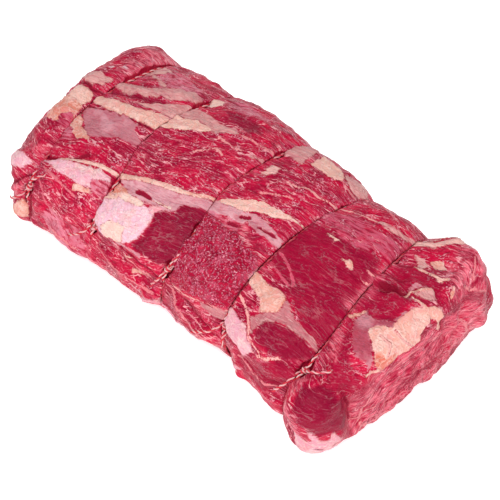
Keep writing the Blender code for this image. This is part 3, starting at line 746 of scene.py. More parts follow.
# %% Marks from a seeded generator
def hidden_marks(seed=11):
    """Patches where the camera can't see, as name, stuff, tint, half width and places."""
    random = np.random.default_rng(seed)
    tip, side = REACH[1] + CUT_END_MARGINS[0], GIRTH / 2 + CUT_END_MARGINS[1]
    cut_end = np.array(((CUT_END_FROM, -side), (tip, -side), (tip, side), (CUT_END_FROM, side)))
    found = [("cut end", "pale_lean", 0.5, 0, cut_end)]
    for count in range(HIDDEN_COUNT):
        at_end = count % END_EVERY == 0
        band = END_BAND if at_end else HIDDEN_BANDS[count % UNDER_EVERY == 1]
        along = random.uniform(*((REACH[0] + TIP_MARGIN, HIDDEN_END) if at_end else PATCH_ALONG))
        middle = np.array((along, random.uniform(*band)))
        stuff = random.choice(list(HIDDEN_SHARES), p=list(HIDDEN_SHARES.values()))
        length, width = (random.uniform(*span) for span in (END_SIZES if at_end else PATCH_SIZES))
        lean = math.radians(random.uniform(-PATCH_LEAN, PATCH_LEAN))
        corners = []
        for step in range(PATCH_CORNERS):
            angle = 2 * math.pi * step / PATCH_CORNERS
            reach = random.uniform(*PATCH_RAGGED)
            corners.append((length * math.cos(angle) * reach, width * math.sin(angle) * reach))
        turned = ((math.cos(lean), math.sin(lean)), (-math.sin(lean), math.cos(lean)))
        places = middle + np.array(corners) @ turned
        places[:, 1] = np.clip(places[:, 1], -BACK, BACK)
        found.append((f"hidden patch {count}", str(stuff), random.uniform(0, 1), 0, places))
    for count in range(VEIN_COUNT):
        band = HIDDEN_BANDS[count % UNDER_EVERY == 1]
        start = np.array((random.uniform(*VEIN_ALONG), random.uniform(*band)))
        steps = np.stack([random.uniform(*span, VEIN_STEPS) for span in (VEIN_STEP, VEIN_DRIFT)], axis=1)
        places = start + np.concatenate([[(0, 0)], np.cumsum(steps, axis=0)])
        vein_tint, half_width = random.uniform(*VEIN_TINTS), random.uniform(*VEIN_HALF_WIDTHS)
        found.append((f"hidden vein {count}", "vein", vein_tint, half_width, places))
    return tuple(found)


HIDDEN_MARKS = hidden_marks()
print(len(HIDDEN_MARKS), "hidden marks")


# %% How far a place lies inside an outline
DEEP = 6.0
THINNEST = 0.7
# height and size of the wobble of an edge in millimetres, and the seed of its noise
WOBBLES = ((0.715, 7.0, 2), (0.55, 3.0, 3))
LINE_WOBBLE = 0.25
TINT_EDGE = 0.8
MIDDLE_TINT = 0.5
where = np.stack(np.meshgrid(RING, ROUND, indexing="ij"), axis=-1)
wobble = sum(height * lumps(plain, size, seed) for height, size, seed in WOBBLES)


def inside(points, places, half_width):
    """Millimetres inside an outline, or inside a band round a line when it has a half width."""
    places = np.asarray(places, float)
    nexts = np.roll(places, -1, axis=0) if not half_width else places[1:]
    distance = np.full(len(points), np.inf)
    odd = np.zeros(len(points), bool)
    for start, end in zip(places, nexts):
        run = end - start
        offset = points - start
        share = np.clip(offset @ run / max(run @ run, TINY), 0, 1)
        distance = np.minimum(distance, np.hypot(*(offset - share[:, None] * run).T))
        crosses = (points[:, 1] < start[1]) != (points[:, 1] < end[1])
        rise = run[1] if abs(run[1]) > TINY else TINY
        odd ^= crosses & (offset[:, 0] < offset[:, 1] * run[0] / rise)
    if half_width:
        return max(half_width, THINNEST) - distance
    return np.where(odd, distance, -distance)


print("edges wander by", round(float(wobble.std()), 1), "mm")


# %% The marks on the skin
def spread_marks(marks):
    """For each stuff, how far inside it every place lies, and the tint of what lies on top."""
    depth = {stuff: np.full(where.shape[:2], -DEEP) for stuff in STUFFS}
    tint = np.full(where.shape[:2], MIDDLE_TINT)
    for _, stuff, mark_tint, half_width, places in marks:
        low = places.min(axis=0) - DEEP - half_width
        high = places.max(axis=0) + DEEP + half_width
        close = ((where > low) & (where < high)).all(axis=-1)
        if not close.any():
            continue
        reach = inside(where[close], places, half_width)
        reach = reach + wobble[close] * (LINE_WOBBLE if half_width else 1.0)
        for other, field in depth.items():
            if other == stuff:
                field[close] = np.maximum(field[close], reach)
            else:
                field[close] = np.minimum(field[close], -reach)
        part = np.clip(reach / TINT_EDGE + 1, 0, 1)
        tint[close] = tint[close] * (1 - part) + mark_tint * part
    return {stuff: np.clip(field, -DEEP, DEEP) for stuff, field in depth.items()}, tint


SEEN_MARKS = END_MARKS + SECOND_MARKS + THIRD_MARKS + FOURTH_MARKS + FIFTH_MARKS + CUT_END_MARKS
marks = HIDDEN_MARKS + tuple((*mark[:4], on_skin(mark[4])) for mark in SEEN_MARKS)
depth, tint = spread_marks(marks)
print(len(marks), "marks;", {stuff: f"{(field > 0).mean():.1%}" for stuff, field in depth.items()})

# %% [markdown]
# Relief comes in layers, each with its cause. Fat stands proud of the lean because it is firm, a slit is a
# gap between two muscles, fibres make low ridges, and the skin puckers where a tie grips it. All of it
# could be one bump texture, but only real relief catches light on its edge and shows in the outline.

# %% Small folds and hollows: name, picture points, half width, height
FOLDS = (
    ("low far left corner", ((125, 57), (150, 51), (172, 57)), 20, -4.0),
    ("low edge by tie 2", ((186, 72), (205, 84)), 14, -1.5),
    ("low edge by tie 3", ((240, 104), (262, 114)), 12, -1.5),
    ("full edge by tie 5", ((376, 208), (400, 226)), 16, 2.5),
    ("full heel by tie 2", ((66, 236), (96, 254)), 16, 5.0),
    ("slim heel by tie 4", ((206, 346), (232, 362)), 14, -3.5),
    ("slim nose side", ((281, 396), (290, 430)), 15, -6.0),
    ("slim far face", ((487, 258), (492, 282)), 22, -9.0),
    ("slim near face", ((474, 338), (452, 354)), 16, -6.0),
    ("full face", ((483, 306), (482, 318)), 12, 2.5),
    ("rim of the ear", ((474, 252), (462, 268), (452, 288), (442, 310)), 8, 2.2),
    ("rim of the layers", ((447, 338), (436, 364), (410, 386), (382, 408), (352, 431)), 8, 0.9),
    ("hollow of the face", ((477, 285), (464, 312), (456, 336)), 10, -3.0),
    ("notch in the face", ((442, 321), (447, 335)), 6, -3.4),
    ("layer", ((366, 404), (386, 390), (408, 371), (428, 350)), 5, 1.3),
    ("layer below", ((372, 417), (388, 403), (405, 387), (418, 371)), 4, -1.6),
    ("lowest layer", ((356, 437), (388, 414), (418, 392), (442, 362)), 7, -2.0),
    ("gap over the lowest layer", ((364, 424), (390, 406), (414, 388), (434, 366)), 4, -1.4),
    ("edge of the top fold", ((330, 370), (352, 381), (372, 386)), 9, 1.5),
    ("fold over the hole", ((378, 283), (392, 280), (408, 283)), 7, 3.2),
    ("hole", ((380, 288), (394, 290), (406, 297)), 3.6, -5.0),
    ("flap", ((406, 297), (416, 292), (430, 291)), 4, 2.4),
    ("fold below the hole", ((392, 297), (408, 305), (422, 311)), 6, 1.6),
    ("rim of the big fat", ((368, 333), (391, 329), (403, 318), (414, 310)), 4, 1.2),
    ("ridge in the fat", ((378, 336), (388, 346), (384, 358)), 2.4, 0.9),
    ("second ridge in the fat", ((392, 330), (402, 341), (412, 345)), 2.4, 0.8),
    ("hollow in the fat", ((384, 332), (394, 344), (398, 354)), 3, -0.9),
    ("nose lobe", ((302, 396), (318, 406)), 17, 2.2),
    ("gap beside the nose", ((320, 371), (328, 386), (332, 397)), 4, -1.6),
    ("gap by the layers", ((346, 392), (352, 408), (351, 424)), 5, -2.2),
    ("oval muscle", ((268, 336), (292, 346)), 15, 2.0),
    ("hollow by the oval", ((256, 318), (284, 318), (300, 330), (316, 346)), 5, -1.3),
    ("lilac lobe", ((240, 322), (246, 342)), 10, 1.8),
    ("peach fold", ((262, 284), (272, 304)), 10, 1.6),
    ("dark muscle", ((166, 230), (182, 222)), 18, 2.0),
    ("gap by the dark muscle", ((154, 215), (150, 230), (138, 243)), 5, -1.4),
    ("big pale lobe", ((112, 222), (138, 222)), 16, 1.8),
    ("crumbly swell", ((198, 250), (216, 272)), 24, 2.0),
    ("tag by tie 3", ((238, 236), (248, 226)), 6, 1.6),
    ("cream seam", ((130, 180), (160, 186), (190, 196)), 6, 1.0),
    ("gap under the cream seam", ((126, 186), (156, 194), (190, 206)), 5, -1.0),
    ("belly fat", ((60, 166), (96, 180)), 12, 1.6),
    ("gap over the belly fat", ((46, 156), (70, 158), (90, 156)), 5, -1.6),
    ("swirl", ((62, 148), (92, 147), (112, 152)), 9, 1.4),
    ("silver hollow", ((90, 116), (116, 128)), 12, -1.6),
    ("cream band ridge", ((98, 100), (130, 112), (164, 121)), 7, 0.6),
    ("grey band ridge", ((118, 87), (150, 93), (186, 97)), 6, 1.0),
    ("gap between the bands", ((112, 91), (134, 95), (162, 102)), 4, -1.1),
    ("peach cap", ((78, 96), (62, 112)), 12, 1.5),
    ("gap at the cap", ((76, 81), (90, 87), (102, 90)), 4, -1.4),
    ("left end fold", ((12, 180), (24, 178), (34, 172)), 5, -1.8),
    ("left end fold below", ((12, 194), (22, 192), (30, 186)), 5, -1.4),
    ("white knob", ((18, 158), (26, 160)), 8, 1.5),
    ("flank fold of seg 2", ((52, 222), (68, 236), (84, 248)), 7, 1.5),
    ("flank gap of seg 2", ((44, 204), (62, 220), (82, 234)), 5, -1.4),
    ("flank gap of seg 3", ((104, 246), (122, 262), (146, 282)), 5, -1.8),
    ("flank fold of seg 3", ((112, 262), (130, 278), (146, 290)), 7, 1.5),
    ("flank gap of seg 4", ((172, 290), (190, 312), (214, 334)), 5, -1.8),
    ("flank fold of seg 4", ((176, 306), (194, 326), (216, 344)), 7, 1.5),
    ("flank gap of seg 5", ((240, 358), (258, 376), (280, 390)), 5, -1.8),
)

HIDDEN_FOLD = 1.3
HIDDEN_FOLD_SIZE = (26.4, 11.0, 11.0)
print(len(FOLDS), "folds")


# %% The folds raised
def as_form(pixels, half_width, rise):
    """A fold from picture points, ready to be raised."""
    spots = on_skin(pixels)
    return skin_line(spots * (1, 360 / GIRTH)), half_width, rise


FOLD_LINES = [as_form(pixels, half_width, rise) for _, pixels, half_width, rise in FOLDS]
folds = sum(rise * near_line(plain, line, half_width) for line, half_width, rise in FOLD_LINES)
hidden_folds = HIDDEN_FOLD * lumps(plain, HIDDEN_FOLD_SIZE, 4)
print("folds from", round(float(folds.min()), 1), "to", round(float(folds.max()), 1), "mm")

# %% Which way the fibres run: degrees at these turns, one row for each stretch between ties
FACE_EDGE = (158.0, 166.0)
FACE_STRETCH = 0.7
GRAIN_CENTRE = 30.0
GRAIN_BEND = 2.2
GRAIN_BEND_SIZE = 24.0
SEGMENT_STEP = 7.0
GRAIN_TURNS = (-0.3, -0.1, 0.05, 0.2, 0.32)
GRAINS = (
    (0, -8, 0, 12, 20),
    (-14, -18, -10, 22, 40),
    (-16, -20, -16, -4, 30),
    (-10, -16, -14, -20, 24),
    (-8, -12, -10, -16, 20),
    (-20, -16, -10, 10, 24),
)


def smooth_step(value, low, high):
    """0 up to the low value, 1 from the high one, and a soft rise between them."""
    share = np.clip((value - low) / (high - low), 0, 1)
    return share * share * (3 - 2 * share)


tie_places = np.array([tie_along(tie) for tie in range(TIE_COUNT)])
nearest_tie = np.argmin(np.abs(RING[:, None] - tie_places), axis=1)
from_tie = RING - tie_places[nearest_tie]
away = np.abs(from_tie)[:, None]

segment = np.searchsorted(tie_places, RING)
centre = np.interp(segment, np.arange(-1, 6) + 0.5, [REACH[0], *tie_places, REACH[1]])
grain_angle = np.radians([np.interp(TURN, GRAIN_TURNS, GRAINS[part]) for part in segment])
off_centre = (RING - centre)[:, None]
aside = ROUND - GRAIN_CENTRE
fibre_along = off_centre * np.cos(grain_angle) + aside * np.sin(grain_angle)
fibre_across = aside * np.cos(grain_angle) - off_centre * np.sin(grain_angle)
at_face = smooth_step(np.abs(RING), *FACE_EDGE)[:, None]
fibre_along, fibre_across = (
    fibre_along * (1 - at_face) + FACE_STRETCH * fibre_across * at_face,
    fibre_across * (1 - at_face) - fibre_along * at_face,
)
fibre_across = fibre_across + GRAIN_BEND * lumps(plain, GRAIN_BEND_SIZE, 5)
fibre = np.stack([fibre_along, fibre_across, SEGMENT_STEP * segment[:, None] + 0 * fibre_along], axis=-1)
print("fibres turn from", np.degrees(grain_angle).min(), "to", np.degrees(grain_angle).max(), "degrees")

# %% Relief of the stuffs, the grain and the puckers
PUCKER_REACH = 9.0
PUCKER_HEIGHT = 0.6
PUCKER_SIZE = (32.0, 3.2, 3.2)
NO_RELIEF = 1.3
FULL_RELIEF = 3.4
RIDGE_HEIGHT = 0.3
RIDGE_ON_FAT = 0.15
RIDGE_SIZE = (14.0, 2.6, 4.0)
CRACK_HEIGHT = 0.35
CRACK_SIZE = 8.0
CRACK_LEVEL = 0.4
MIDDLE_TURN = 0.02
HIDDEN_TURNS = (0.22, 0.34)
BASE_RELIEF = 0.25
BASE_RELIEF_HEIGHT = 5.0
# height and size of lumps in millimetres, the seed of their noise, and the stuff that has them
LUMPS = (
    (0.6, 9.0, 6, None),
    (0.3, 4.2, 13, None),
    (0.9, 5.2, 8, "crumbly_lean"),
    (0.4, 2.8, 15, "crumbly_lean"),
    (0.25, 3.2, 9, "pink_fat"),
)

cover = {stuff: smooth_step(depth[stuff], -soft, soft) for stuff, (_, soft) in STUFFS.items()}
firm = sum(cover[name] for name in ("grey_fat", "pink_fat", "cream_fat", "silverskin")).clip(0, 1)
relief = sum(STUFFS[stuff][0] * share for stuff, share in cover.items())
for rise, size, seed, stuff in LUMPS:
    relief = relief + rise * (cover[stuff] if stuff else 1.0) * lumps(plain, size, seed)
relief = relief + (RIDGE_HEIGHT - RIDGE_ON_FAT * firm) * lumps(fibre, RIDGE_SIZE, 7)
relief = relief + CRACK_HEIGHT * cover["cream_fat"] * (CRACK_LEVEL - np.abs(lumps(plain, CRACK_SIZE, 14)))
skin_place = np.concatenate([where, 0 * where[..., :1]], axis=-1)
relief = relief + PUCKER_HEIGHT * np.exp(-away / PUCKER_REACH) * lumps(skin_place, PUCKER_SIZE, 10)
relief = relief + folds + hidden_folds * smooth_step(np.abs(TURN - MIDDLE_TURN), *HIDDEN_TURNS)
relief = relief * smooth_step(away, NO_RELIEF, FULL_RELIEF)
relief = relief * np.clip(BASE_RELIEF + plain[..., 2] / BASE_RELIEF_HEIGHT, 0, 1)
print("relief from", round(float(relief.min()), 1), "to", round(float(relief.max()), 1), "mm")

# %% [markdown]
# Most of the twine can't be seen, because the meat swells over it on both sides. Each groove therefore has
# two lips that lean in over the twine, so it shows as a dark crease, and a few open stretches where the
# twine is bare. These could be cut as plain slots, but a slot shows too much twine and too hard an edge.
# Open stretches are given in degrees round, with how far the lips draw back.

# %% Open stretches, and the shape of a lip at these distances from its tie
OPEN_STRETCHES = (
    ((-52, -26, 0.75), (62, 82, 0.9), (150, 215, 1.0)),
    ((-46, -35, 0.75), (38, 48, 0.8), (70, 80, 0.9), (150, 215, 1.0)),
    ((-43, -35, 0.65), (33, 42, 0.8), (62, 74, 0.9), (150, 215, 1.0)),
    ((-43, -38, 0.6), (72, 82, 0.9), (150, 215, 1.0)),
    ((50, 62, 0.9), (150, 215, 1.0)),
)
OPEN_EDGE = 3.0
LIP_PLACES = (0.0, 1.4, 2.1, 2.8, 3.5, 4.2, 4.9, 6.6, 9.0)
LIP_LEAN = (0.0, 0.0, 1.6, 2.8, 3.05, 2.85, 2.35, 1.0, 0.0)
LIP_SWELL = (0.0, 0.0, 0.1, 0.2, 0.45, 0.55, 0.45, 0.25, 0.0)
SHUT_DEPTH = (1.0, 0.9, 0.35, 0.16, 0.04, 0.0, 0.0, 0.0, 0.0)
OPEN_DEPTH = (1.0, 0.95, 0.55, 0.2, 0.08, 0.03, 0.0, 0.0, 0.0)
LEAST_GAP = 0.1
LIP_FLICKER = 0.12
BARE_FLICKER = 0.5
FLICKER_SIZE = 4.5
HALF_BARE = (0.02, 0.95)
BARE_FLATTENING = 0.7
BASE_RISE = 4.0
MOST_CREASE = 5.0

print(sum(len(open_at) for open_at in OPEN_STRETCHES), "open stretches")


# %% Grooves and lips cut
def openness(tie, degrees):
    """How bare the twine lies at each place round: 0 under the lips, 1 in the open."""
    share = np.zeros(len(degrees))
    for start, end, most in OPEN_STRETCHES[tie]:
        middle, half = (start + end) / 2, (end - start) / 2
        off = np.abs((degrees - middle + 180) % 360 - 180)
        share = np.maximum(share, most * smooth_step(half + OPEN_EDGE - off, 0, 2 * OPEN_EDGE))
    return share


bare = np.array([openness(tie, TURN * 360) for tie in range(TIE_COUNT)])[nearest_tie]
flicker = lumps(plain, FLICKER_SIZE, 12)
half_bare = (bare > HALF_BARE[0]) & (bare < HALF_BARE[1])
bare = np.clip(bare + BARE_FLICKER * flicker * half_bare, 0, 1)
groove = np.array([round_through(depths, TURN) for depths in GROOVE_DEPTHS])[nearest_tie]
shut, opened, swell, lean_in = (
    np.interp(away, LIP_PLACES, values) for values in (SHUT_DEPTH, OPEN_DEPTH, LIP_SWELL, LIP_LEAN)
)
cut = groove * (shut * (1 - bare) + opened * bare)
swell = swell * (1 - BARE_FLATTENING * bare)
lean_in = lean_in * (1 - bare) * (1 + LIP_FLICKER * flicker)
lean_in = np.clip(lean_in, 0, np.maximum(away - LEAST_GAP, 0))
above_base = np.clip(plain[..., 2] / BASE_RISE, 0, 1)

place = plain + normal * (broad_height(plain) + relief + swell * above_base - cut)[..., None]
place = place - lengthwise * (np.sign(from_tie)[:, None] * lean_in * above_base)[..., None]
place[..., 2] = np.maximum(place[..., 2], 0.0)
# The groove's depth is kept as the crease attribute, the mask of the painted shade in each groove.
crease = np.clip(cut, 0, MOST_CREASE) * above_base
print("grooves up to", round(float(cut.max()), 1), "mm deep")

# %% The meat's place in the frame, and faces between rings
BEEF = np.array(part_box("beef")) / MM
low = place.reshape(-1, 3).min(axis=0)
high = place.reshape(-1, 3).max(axis=0)
shift = (BEEF[0] + BEEF[1] - low - high) / 2
shift[2] = BEEF[0][2] - low[2]
print("moved by", shift.round(2), "mm")


def band_faces(first, rows, columns, closed=False):
    """Faces between rings of points, one after another, and back to the first if it is closed."""
    i = np.arange(columns)
    j = (i + 1) % columns
    row = np.arange(rows if closed else rows - 1)[:, None]
    a = first + row * columns
    b = first + (row + 1) % rows * columns
    return [tuple(quad) for quad in np.stack([a + i, a + j, b + j, b + i], axis=-1).reshape(-1, 4).tolist()]


# %% The meat's mesh
TIE_FADE = 6.0


def skin_mesh(name, place):
    """A closed mesh from rings of columns, with a point at each tip."""
    rows, columns = place.shape[:2]
    points = np.concatenate([place.reshape(-1, 3), [place[0].mean(axis=0)], [place[-1].mean(axis=0)]])
    tip, end, last = rows * columns, rows * columns + 1, (rows - 1) * columns
    faces = band_faces(0, rows, columns)
    faces += [(tip, (a + 1) % columns, a) for a in range(columns)]
    faces += [(end, last + a, last + (a + 1) % columns) for a in range(columns)]
    mesh = bpy.data.meshes.new(name)
    mesh.from_pydata(((points + shift) * MM).tolist(), [], faces)
    mesh.shade_smooth()
    return mesh


def keep_on_mesh(mesh, name, values):
    """A number or a vector for every point of the skin, with the tips like their rings."""
    values = np.asarray(values, float)
    if values.ndim == 3:
        flat = np.concatenate([values.reshape(-1, 3), [values[0, 0]], [values[-1, 0]]])
        mesh.attributes.new(name, "FLOAT_VECTOR", "POINT").data.foreach_set("vector", flat.ravel())
    else:
        flat = np.concatenate([values.ravel(), [values[0, 0], values[-1, 0]]])
        mesh.attributes.new(name, "FLOAT", "POINT").data.foreach_set("value", flat)


beef_mesh = skin_mesh("rolled_beef", place)
KEPT = {
    **depth,
    "tint": tint,
    "fibre": fibre,
    "crease": crease,
    "near_tie": np.exp(-away / TIE_FADE) + 0 * crease,
    "skin_place": skin_place,
}
for name, values in KEPT.items():
    keep_on_mesh(beef_mesh, name, values)
beef = bpy.data.objects.new("rolled_beef", beef_mesh)
bpy.context.scene.collection.objects.link(beef)
print(len(beef_mesh.vertices), "points,", len(beef_mesh.polygons), "faces")

# %% [markdown]
# Raw meat is wet and lets light in a little way, so each stuff gets its colour and a roughness, and all
# share some light that scatters below the skin. The colours are sRGB values read from the photograph, and
# one function turns them into the linear values that a shader needs. A second one adds any node to a
# material.


# %% Colours and nodes
def linear(code):
    """A hex sRGB colour as the linear values that shaders use."""
    parts = [int(code[i : i + 2], 16) / 255 for i in (1, 3, 5)]
    return (*(p / 12.92 if p <= 0.04045 else ((p + 0.055) / 1.055) ** 2.4 for p in parts), 1.0)


def add(tree, kind, *inputs, output=0, **settings):
    """Adds a node with its settings, links or sets its inputs in turn, and gives one output."""
    node = tree.nodes.new("ShaderNode" + kind)
    for name, value in settings.items():
        setattr(node, name, value)
    for socket, value in zip([socket for socket in node.inputs if socket.enabled], inputs):
        if isinstance(value, bpy.types.NodeSocket):
            tree.links.new(value, socket)
        elif value is not None:
            socket.default_value = linear(value) if isinstance(value, str) else value
    return [socket for socket in node.outputs if socket.enabled][output]


def new_material(name, inputs):
    """A material, its tree and its shader, with the shader's constant inputs set."""
    material = bpy.data.materials.new(name)
    material.use_nodes = True
    shader = material.node_tree.nodes["Principled BSDF"]
    for socket, value in inputs.items():
        shader.inputs[socket].default_value = value
    return material, material.node_tree, shader


print("white as linear values:", linear("#ffffff"))

# %% Names for a node's settings and outputs
# The numbers of an Attribute node's outputs, and of a Texture Coordinate node's object output
AS_VECTOR = 1
AS_NUMBER = 2
OBJECT_PLACE = 3
SMOOTH = {"interpolation_type": "SMOOTHSTEP"}
COLOURS = {"data_type": "RGBA"}

# %% [markdown]
# Beef fibres run in bundles one to two millimetres thick, in streaks darker and lighter than their
# neighbours. The `fibre` attribute turns that direction into coordinates, so noise stretched four to seven
# times along its first axis draws them. Marbling is the thin pink web where two bundles meet: a line where
# noise crosses its middle value, whose pale lines are partly painted highlight that stands in for wet
# glints.
# Each pattern is laid in millimetres, so its size is the real one.

# %% Patterns of raw beef, cut and trimmed: a wet, satin surface that scatters red
beef_material, tree, shader = new_material(
    "raw_beef_cut_and_trimmed",
    {
        "Specular IOR Level": 0.06,
        "Subsurface Weight": 0.12,
        "Subsurface Radius": (1.0, 0.25, 0.2),
        "Subsurface Scale": 2.0 * MM,
        "Coat Weight": 0.03,
        "Coat Roughness": 0.12,
    },
)
in_object = add(tree, "TexCoord", output=OBJECT_PLACE)
place_mm = add(tree, "Mapping", in_object, None, None, (1 / MM,) * 3)
along_fibres = add(tree, "Attribute", attribute_name="fibre", output=AS_VECTOR)
on_the_skin = add(tree, "Attribute", attribute_name="skin_place", output=AS_VECTOR)

EVEN = (1.0, 1.0, 1.0)
# name: where it is laid, the size of its lumps in millimetres, its detail and how it is drawn out
PATTERNS = {
    "broad": (place_mm, 15.0, 3.0, EVEN),
    "patch": (place_mm, 6.0, 3.0, EVEN),
    "clumps": (place_mm, 9.0, 2.0, EVEN),
    "grit": (place_mm, 1.1, 3.0, EVEN),
    "crumb lines": (place_mm, 3.6, 3.0, EVEN),
    "wrinkle lines": (place_mm, 5.5, 3.0, EVEN),
    "bundles": (along_fibres, 1.5, 3.0, (4.5, 1.0, 3.0)),
    "threads": (along_fibres, 0.55, 2.0, (7.0, 1.0, 4.0)),
    "marbling lines": (along_fibres, 3.4, 3.0, (2.4, 1.0, 2.0)),
    "long lines": (along_fibres, 6.5, 4.0, (3.4, 1.0, 2.0)),
    "puckers": (on_the_skin, 1.0, 1.0, (14.0, 1.0, 1.0)),
}
LOBULE_SIZE = 3.2
pattern = {}
for name, (at, size, detail, stretch) in PATTERNS.items():
    scale = tuple(1 / (size * part) for part in stretch)
    pattern[name] = add(tree, "TexNoise", add(tree, "Mapping", at, None, None, scale), 1.0, detail)
    if name.endswith("lines"):
        off_middle = add(tree, "Math", pattern[name], 0.5, operation="SUBTRACT")
        pattern[name] = add(tree, "Math", off_middle, operation="ABSOLUTE")
pattern["lobules"] = add(tree, "TexVoronoi", place_mm, 1 / LOBULE_SIZE, feature="DISTANCE_TO_EDGE")
for name in ("tint", "crease", "near_tie"):
    pattern[name] = add(tree, "Attribute", attribute_name=name, output=AS_NUMBER)
print(len(pattern), "patterns")

# %% [markdown]
# A look is built in layers, as a painter glazes: each colour shows only where its patterns let it. Here a
# layer is a colour, and for each of its patterns the range that it is read from and the shares that this
# gives. A table of layers is easier to tune than one long chain of nodes.


# %% Layers of colour
def shown(*parts):
    """How far a layer shows: each pattern moved from one range to another, and multiplied."""
    product = None
    for name, *span in parts:
        value = add(tree, "MapRange", pattern[name], *span, **SMOOTH) if span else pattern[name]
        product = add(tree, "Math", product, value, operation="MULTIPLY") if product else value
    return product


def layered(colour, layers):
    """Lays colours over a colour, each where its patterns show it."""
    for over, *parts in layers:
        colour = add(tree, "Mix", shown(*parts), colour, over, **COLOURS)
    return colour


pattern["marbling"] = shown(
    ("marbling lines", 0.045, 0.01125), ("clumps", 0.44, 0.62, 0.08, 0.95), ("grit", 0.42, 0.6)
)
pattern["crumbs"] = shown(("crumb lines", 0.075, 0.01875), ("grit", 0.36, 0.54, 0.1, 1.0))
pattern["wrinkles"] = shown(("wrinkle lines", 0.06, 0.015))
# Painted highlight: pale stripes on the puckers close to each tie.
pattern["stripes"] = shown(("puckers", 0.5, 0.68, 0.0, 0.75), ("near_tie", 0.12, 0.55))
# The lean's pale layers are partly its own and partly painted highlight: the marbling, the long lines and
# the pale blotches along the bundles are pink tissue and fat flecks that also stand in for wet glints, the
# smallest grit specks are painted glints, and the stripes by the ties are painted highlights on the puckers.
lean = layered(
    "#98002e",
    (
        ("#bc0436", ("broad", 0.36, 0.64)),
        ("#cc3658", ("bundles", 0.5, 0.72, 0.0, 0.5)),
        ("#780224", ("bundles", 0.47, 0.3, 0.0, 0.65)),
        ("#e8869c", ("threads", 0.58, 0.74, 0.0, 0.34)),
        ("#ec9cac", ("marbling",)),
        ("#e890a2", ("bundles", 0.54, 0.66), ("grit", 0.5, 0.64, 0.0, 0.55)),
        ("#f2b4c0", ("grit", 0.68, 0.76, 0.0, 0.5)),
        ("#eaa4aa", ("long lines", 0.018, 0.0045), ("patch", 0.4, 0.56, 0.1, 0.9)),
        ("#d45872", ("stripes",)),
    ),
)
print("lean:", len(tree.nodes), "nodes")

# %% [markdown]
# Fat isn't one colour either: hard fat is cream and cracks, soft fat is pink with lobules three millimetres
# wide, and silverskin is a lilac film with the lean showing through. Each stuff has a cool and a warm
# colour that its marks' tint chooses between, and its edge is broken up along the fibres by some
# millimetres.

# %% Layers of the fats
# The palest layer, along the fat's wrinkles, is partly whiter fat and partly painted highlight on their
# ridges.
FAT_LAYERS = (
    ("#e08e90", ("patch", 0.46, 0.68, 0.0, 0.4)),
    ("#f2ccc2", ("clumps", 0.5, 0.68, 0.0, 0.4)),
    ("#fbe0d4", ("wrinkles", 0.0, 1.0, 0.0, 0.25)),
)


def fat_layers(streaked, webbed):
    """The layers of a fat, with how much its streaks and the web round its lobules show."""
    return FAT_LAYERS + (
        ("#cc7484", ("bundles", 0.46, 0.26, 0.0, streaked)),
        ("#f8dcdc", ("threads", 0.5, 0.7, 0.0, streaked)),
        ("#cf6a78", ("lobules", 0.07, 0.0, 0.0, webbed)),
    )


print(len(FAT_LAYERS), "layers that all fats have")

# %% The looks: stuff, colours and layers
# stuff: cool colour, warm colour, how streaked its edge is, its layers, and where it is thin
LOOKS = {
    "dark_lean": (
        "#680024",
        "#98002e",
        3.0,
        ((lean, ("tint", 0.75, 0.9, 0.2, 0.4)), ("#d4607c", ("threads", 0.56, 0.74, 0.0, 0.12))),
        (),
    ),
    "pale_lean": (
        "#c4284c",
        "#e06a7c",
        5.0,
        ((lean, ("bundles", 0.56, 0.42, 0.0, 0.85)), ("#f6b4bc", ("threads", 0.52, 0.66, 0.0, 0.55))),
        (("patch", 0.34, 0.58, 0.2, 0.95),),
    ),
    # Crumbly lean: the paler patches and the grit specks are painted highlight on the crumbs, and the pale
    # crumb lines are partly pink tissue and partly painted highlight.
    "crumbly_lean": (
        "#a00830",
        "#b40c38",
        3.0,
        (
            ("#cc506e", ("patch", 0.52, 0.66, 0.0, 0.45)),
            ("#7c0424", ("patch", 0.46, 0.34, 0.0, 0.6)),
            ("#de6c88", ("crumbs", 0.0, 1.0, 0.0, 0.75)),
            ("#f4bcc8", ("grit", 0.6, 0.72, 0.0, 0.8)),
        ),
        (),
    ),
    "membrane": (
        "#bd4a64",
        "#d68294",
        4.5,
        ((lean, ("bundles", 0.56, 0.4, 0.0, 0.85)),),
        (("patch", 0.3, 0.6, 0.45, 0.95),),
    ),
    "silverskin": (
        "#a84454",
        "#e8b8be",
        2.6,
        (
            ("#a84058", ("bundles", 0.5, 0.3, 0.0, 0.6)),
            ("#b45c74", ("threads", 0.45, 0.7, 0.0, 0.55)),
            ("#e4b0b8", ("broad", 0.5, 0.68, 0.0, 0.35)),
        ),
        (("patch", 0.28, 0.5, 0.7, 1.0),),
    ),
    "grey_fat": (
        "#b46870",
        "#e4b0a8",
        3.4,
        (("#bc5c6c", ("bundles", 0.52, 0.32, 0.0, 0.6)), ("#f0d0c8", ("threads", 0.5, 0.75, 0.0, 0.4))),
        (("patch", 0.26, 0.46, 0.72, 1.0),),
    ),
    "pink_fat": ("#ce7282", "#e4b8c8", 1.6, fat_layers(0.45, 0.3), ()),
    "cream_fat": ("#cc6a56", "#ecccc0", 1.6, fat_layers(0.2, 0.08), ()),
    "vein": ("#c84c66", "#eeb0a8", 0.9, (), ()),
    # A slit is cut into the relief, and its dark reds are painted shade in the narrow gap.
    "slit": ("#800c26", "#9a1234", 0.8, (), ()),
}
GRITTY_EDGE = 1.4
print(len(LOOKS), "looks")

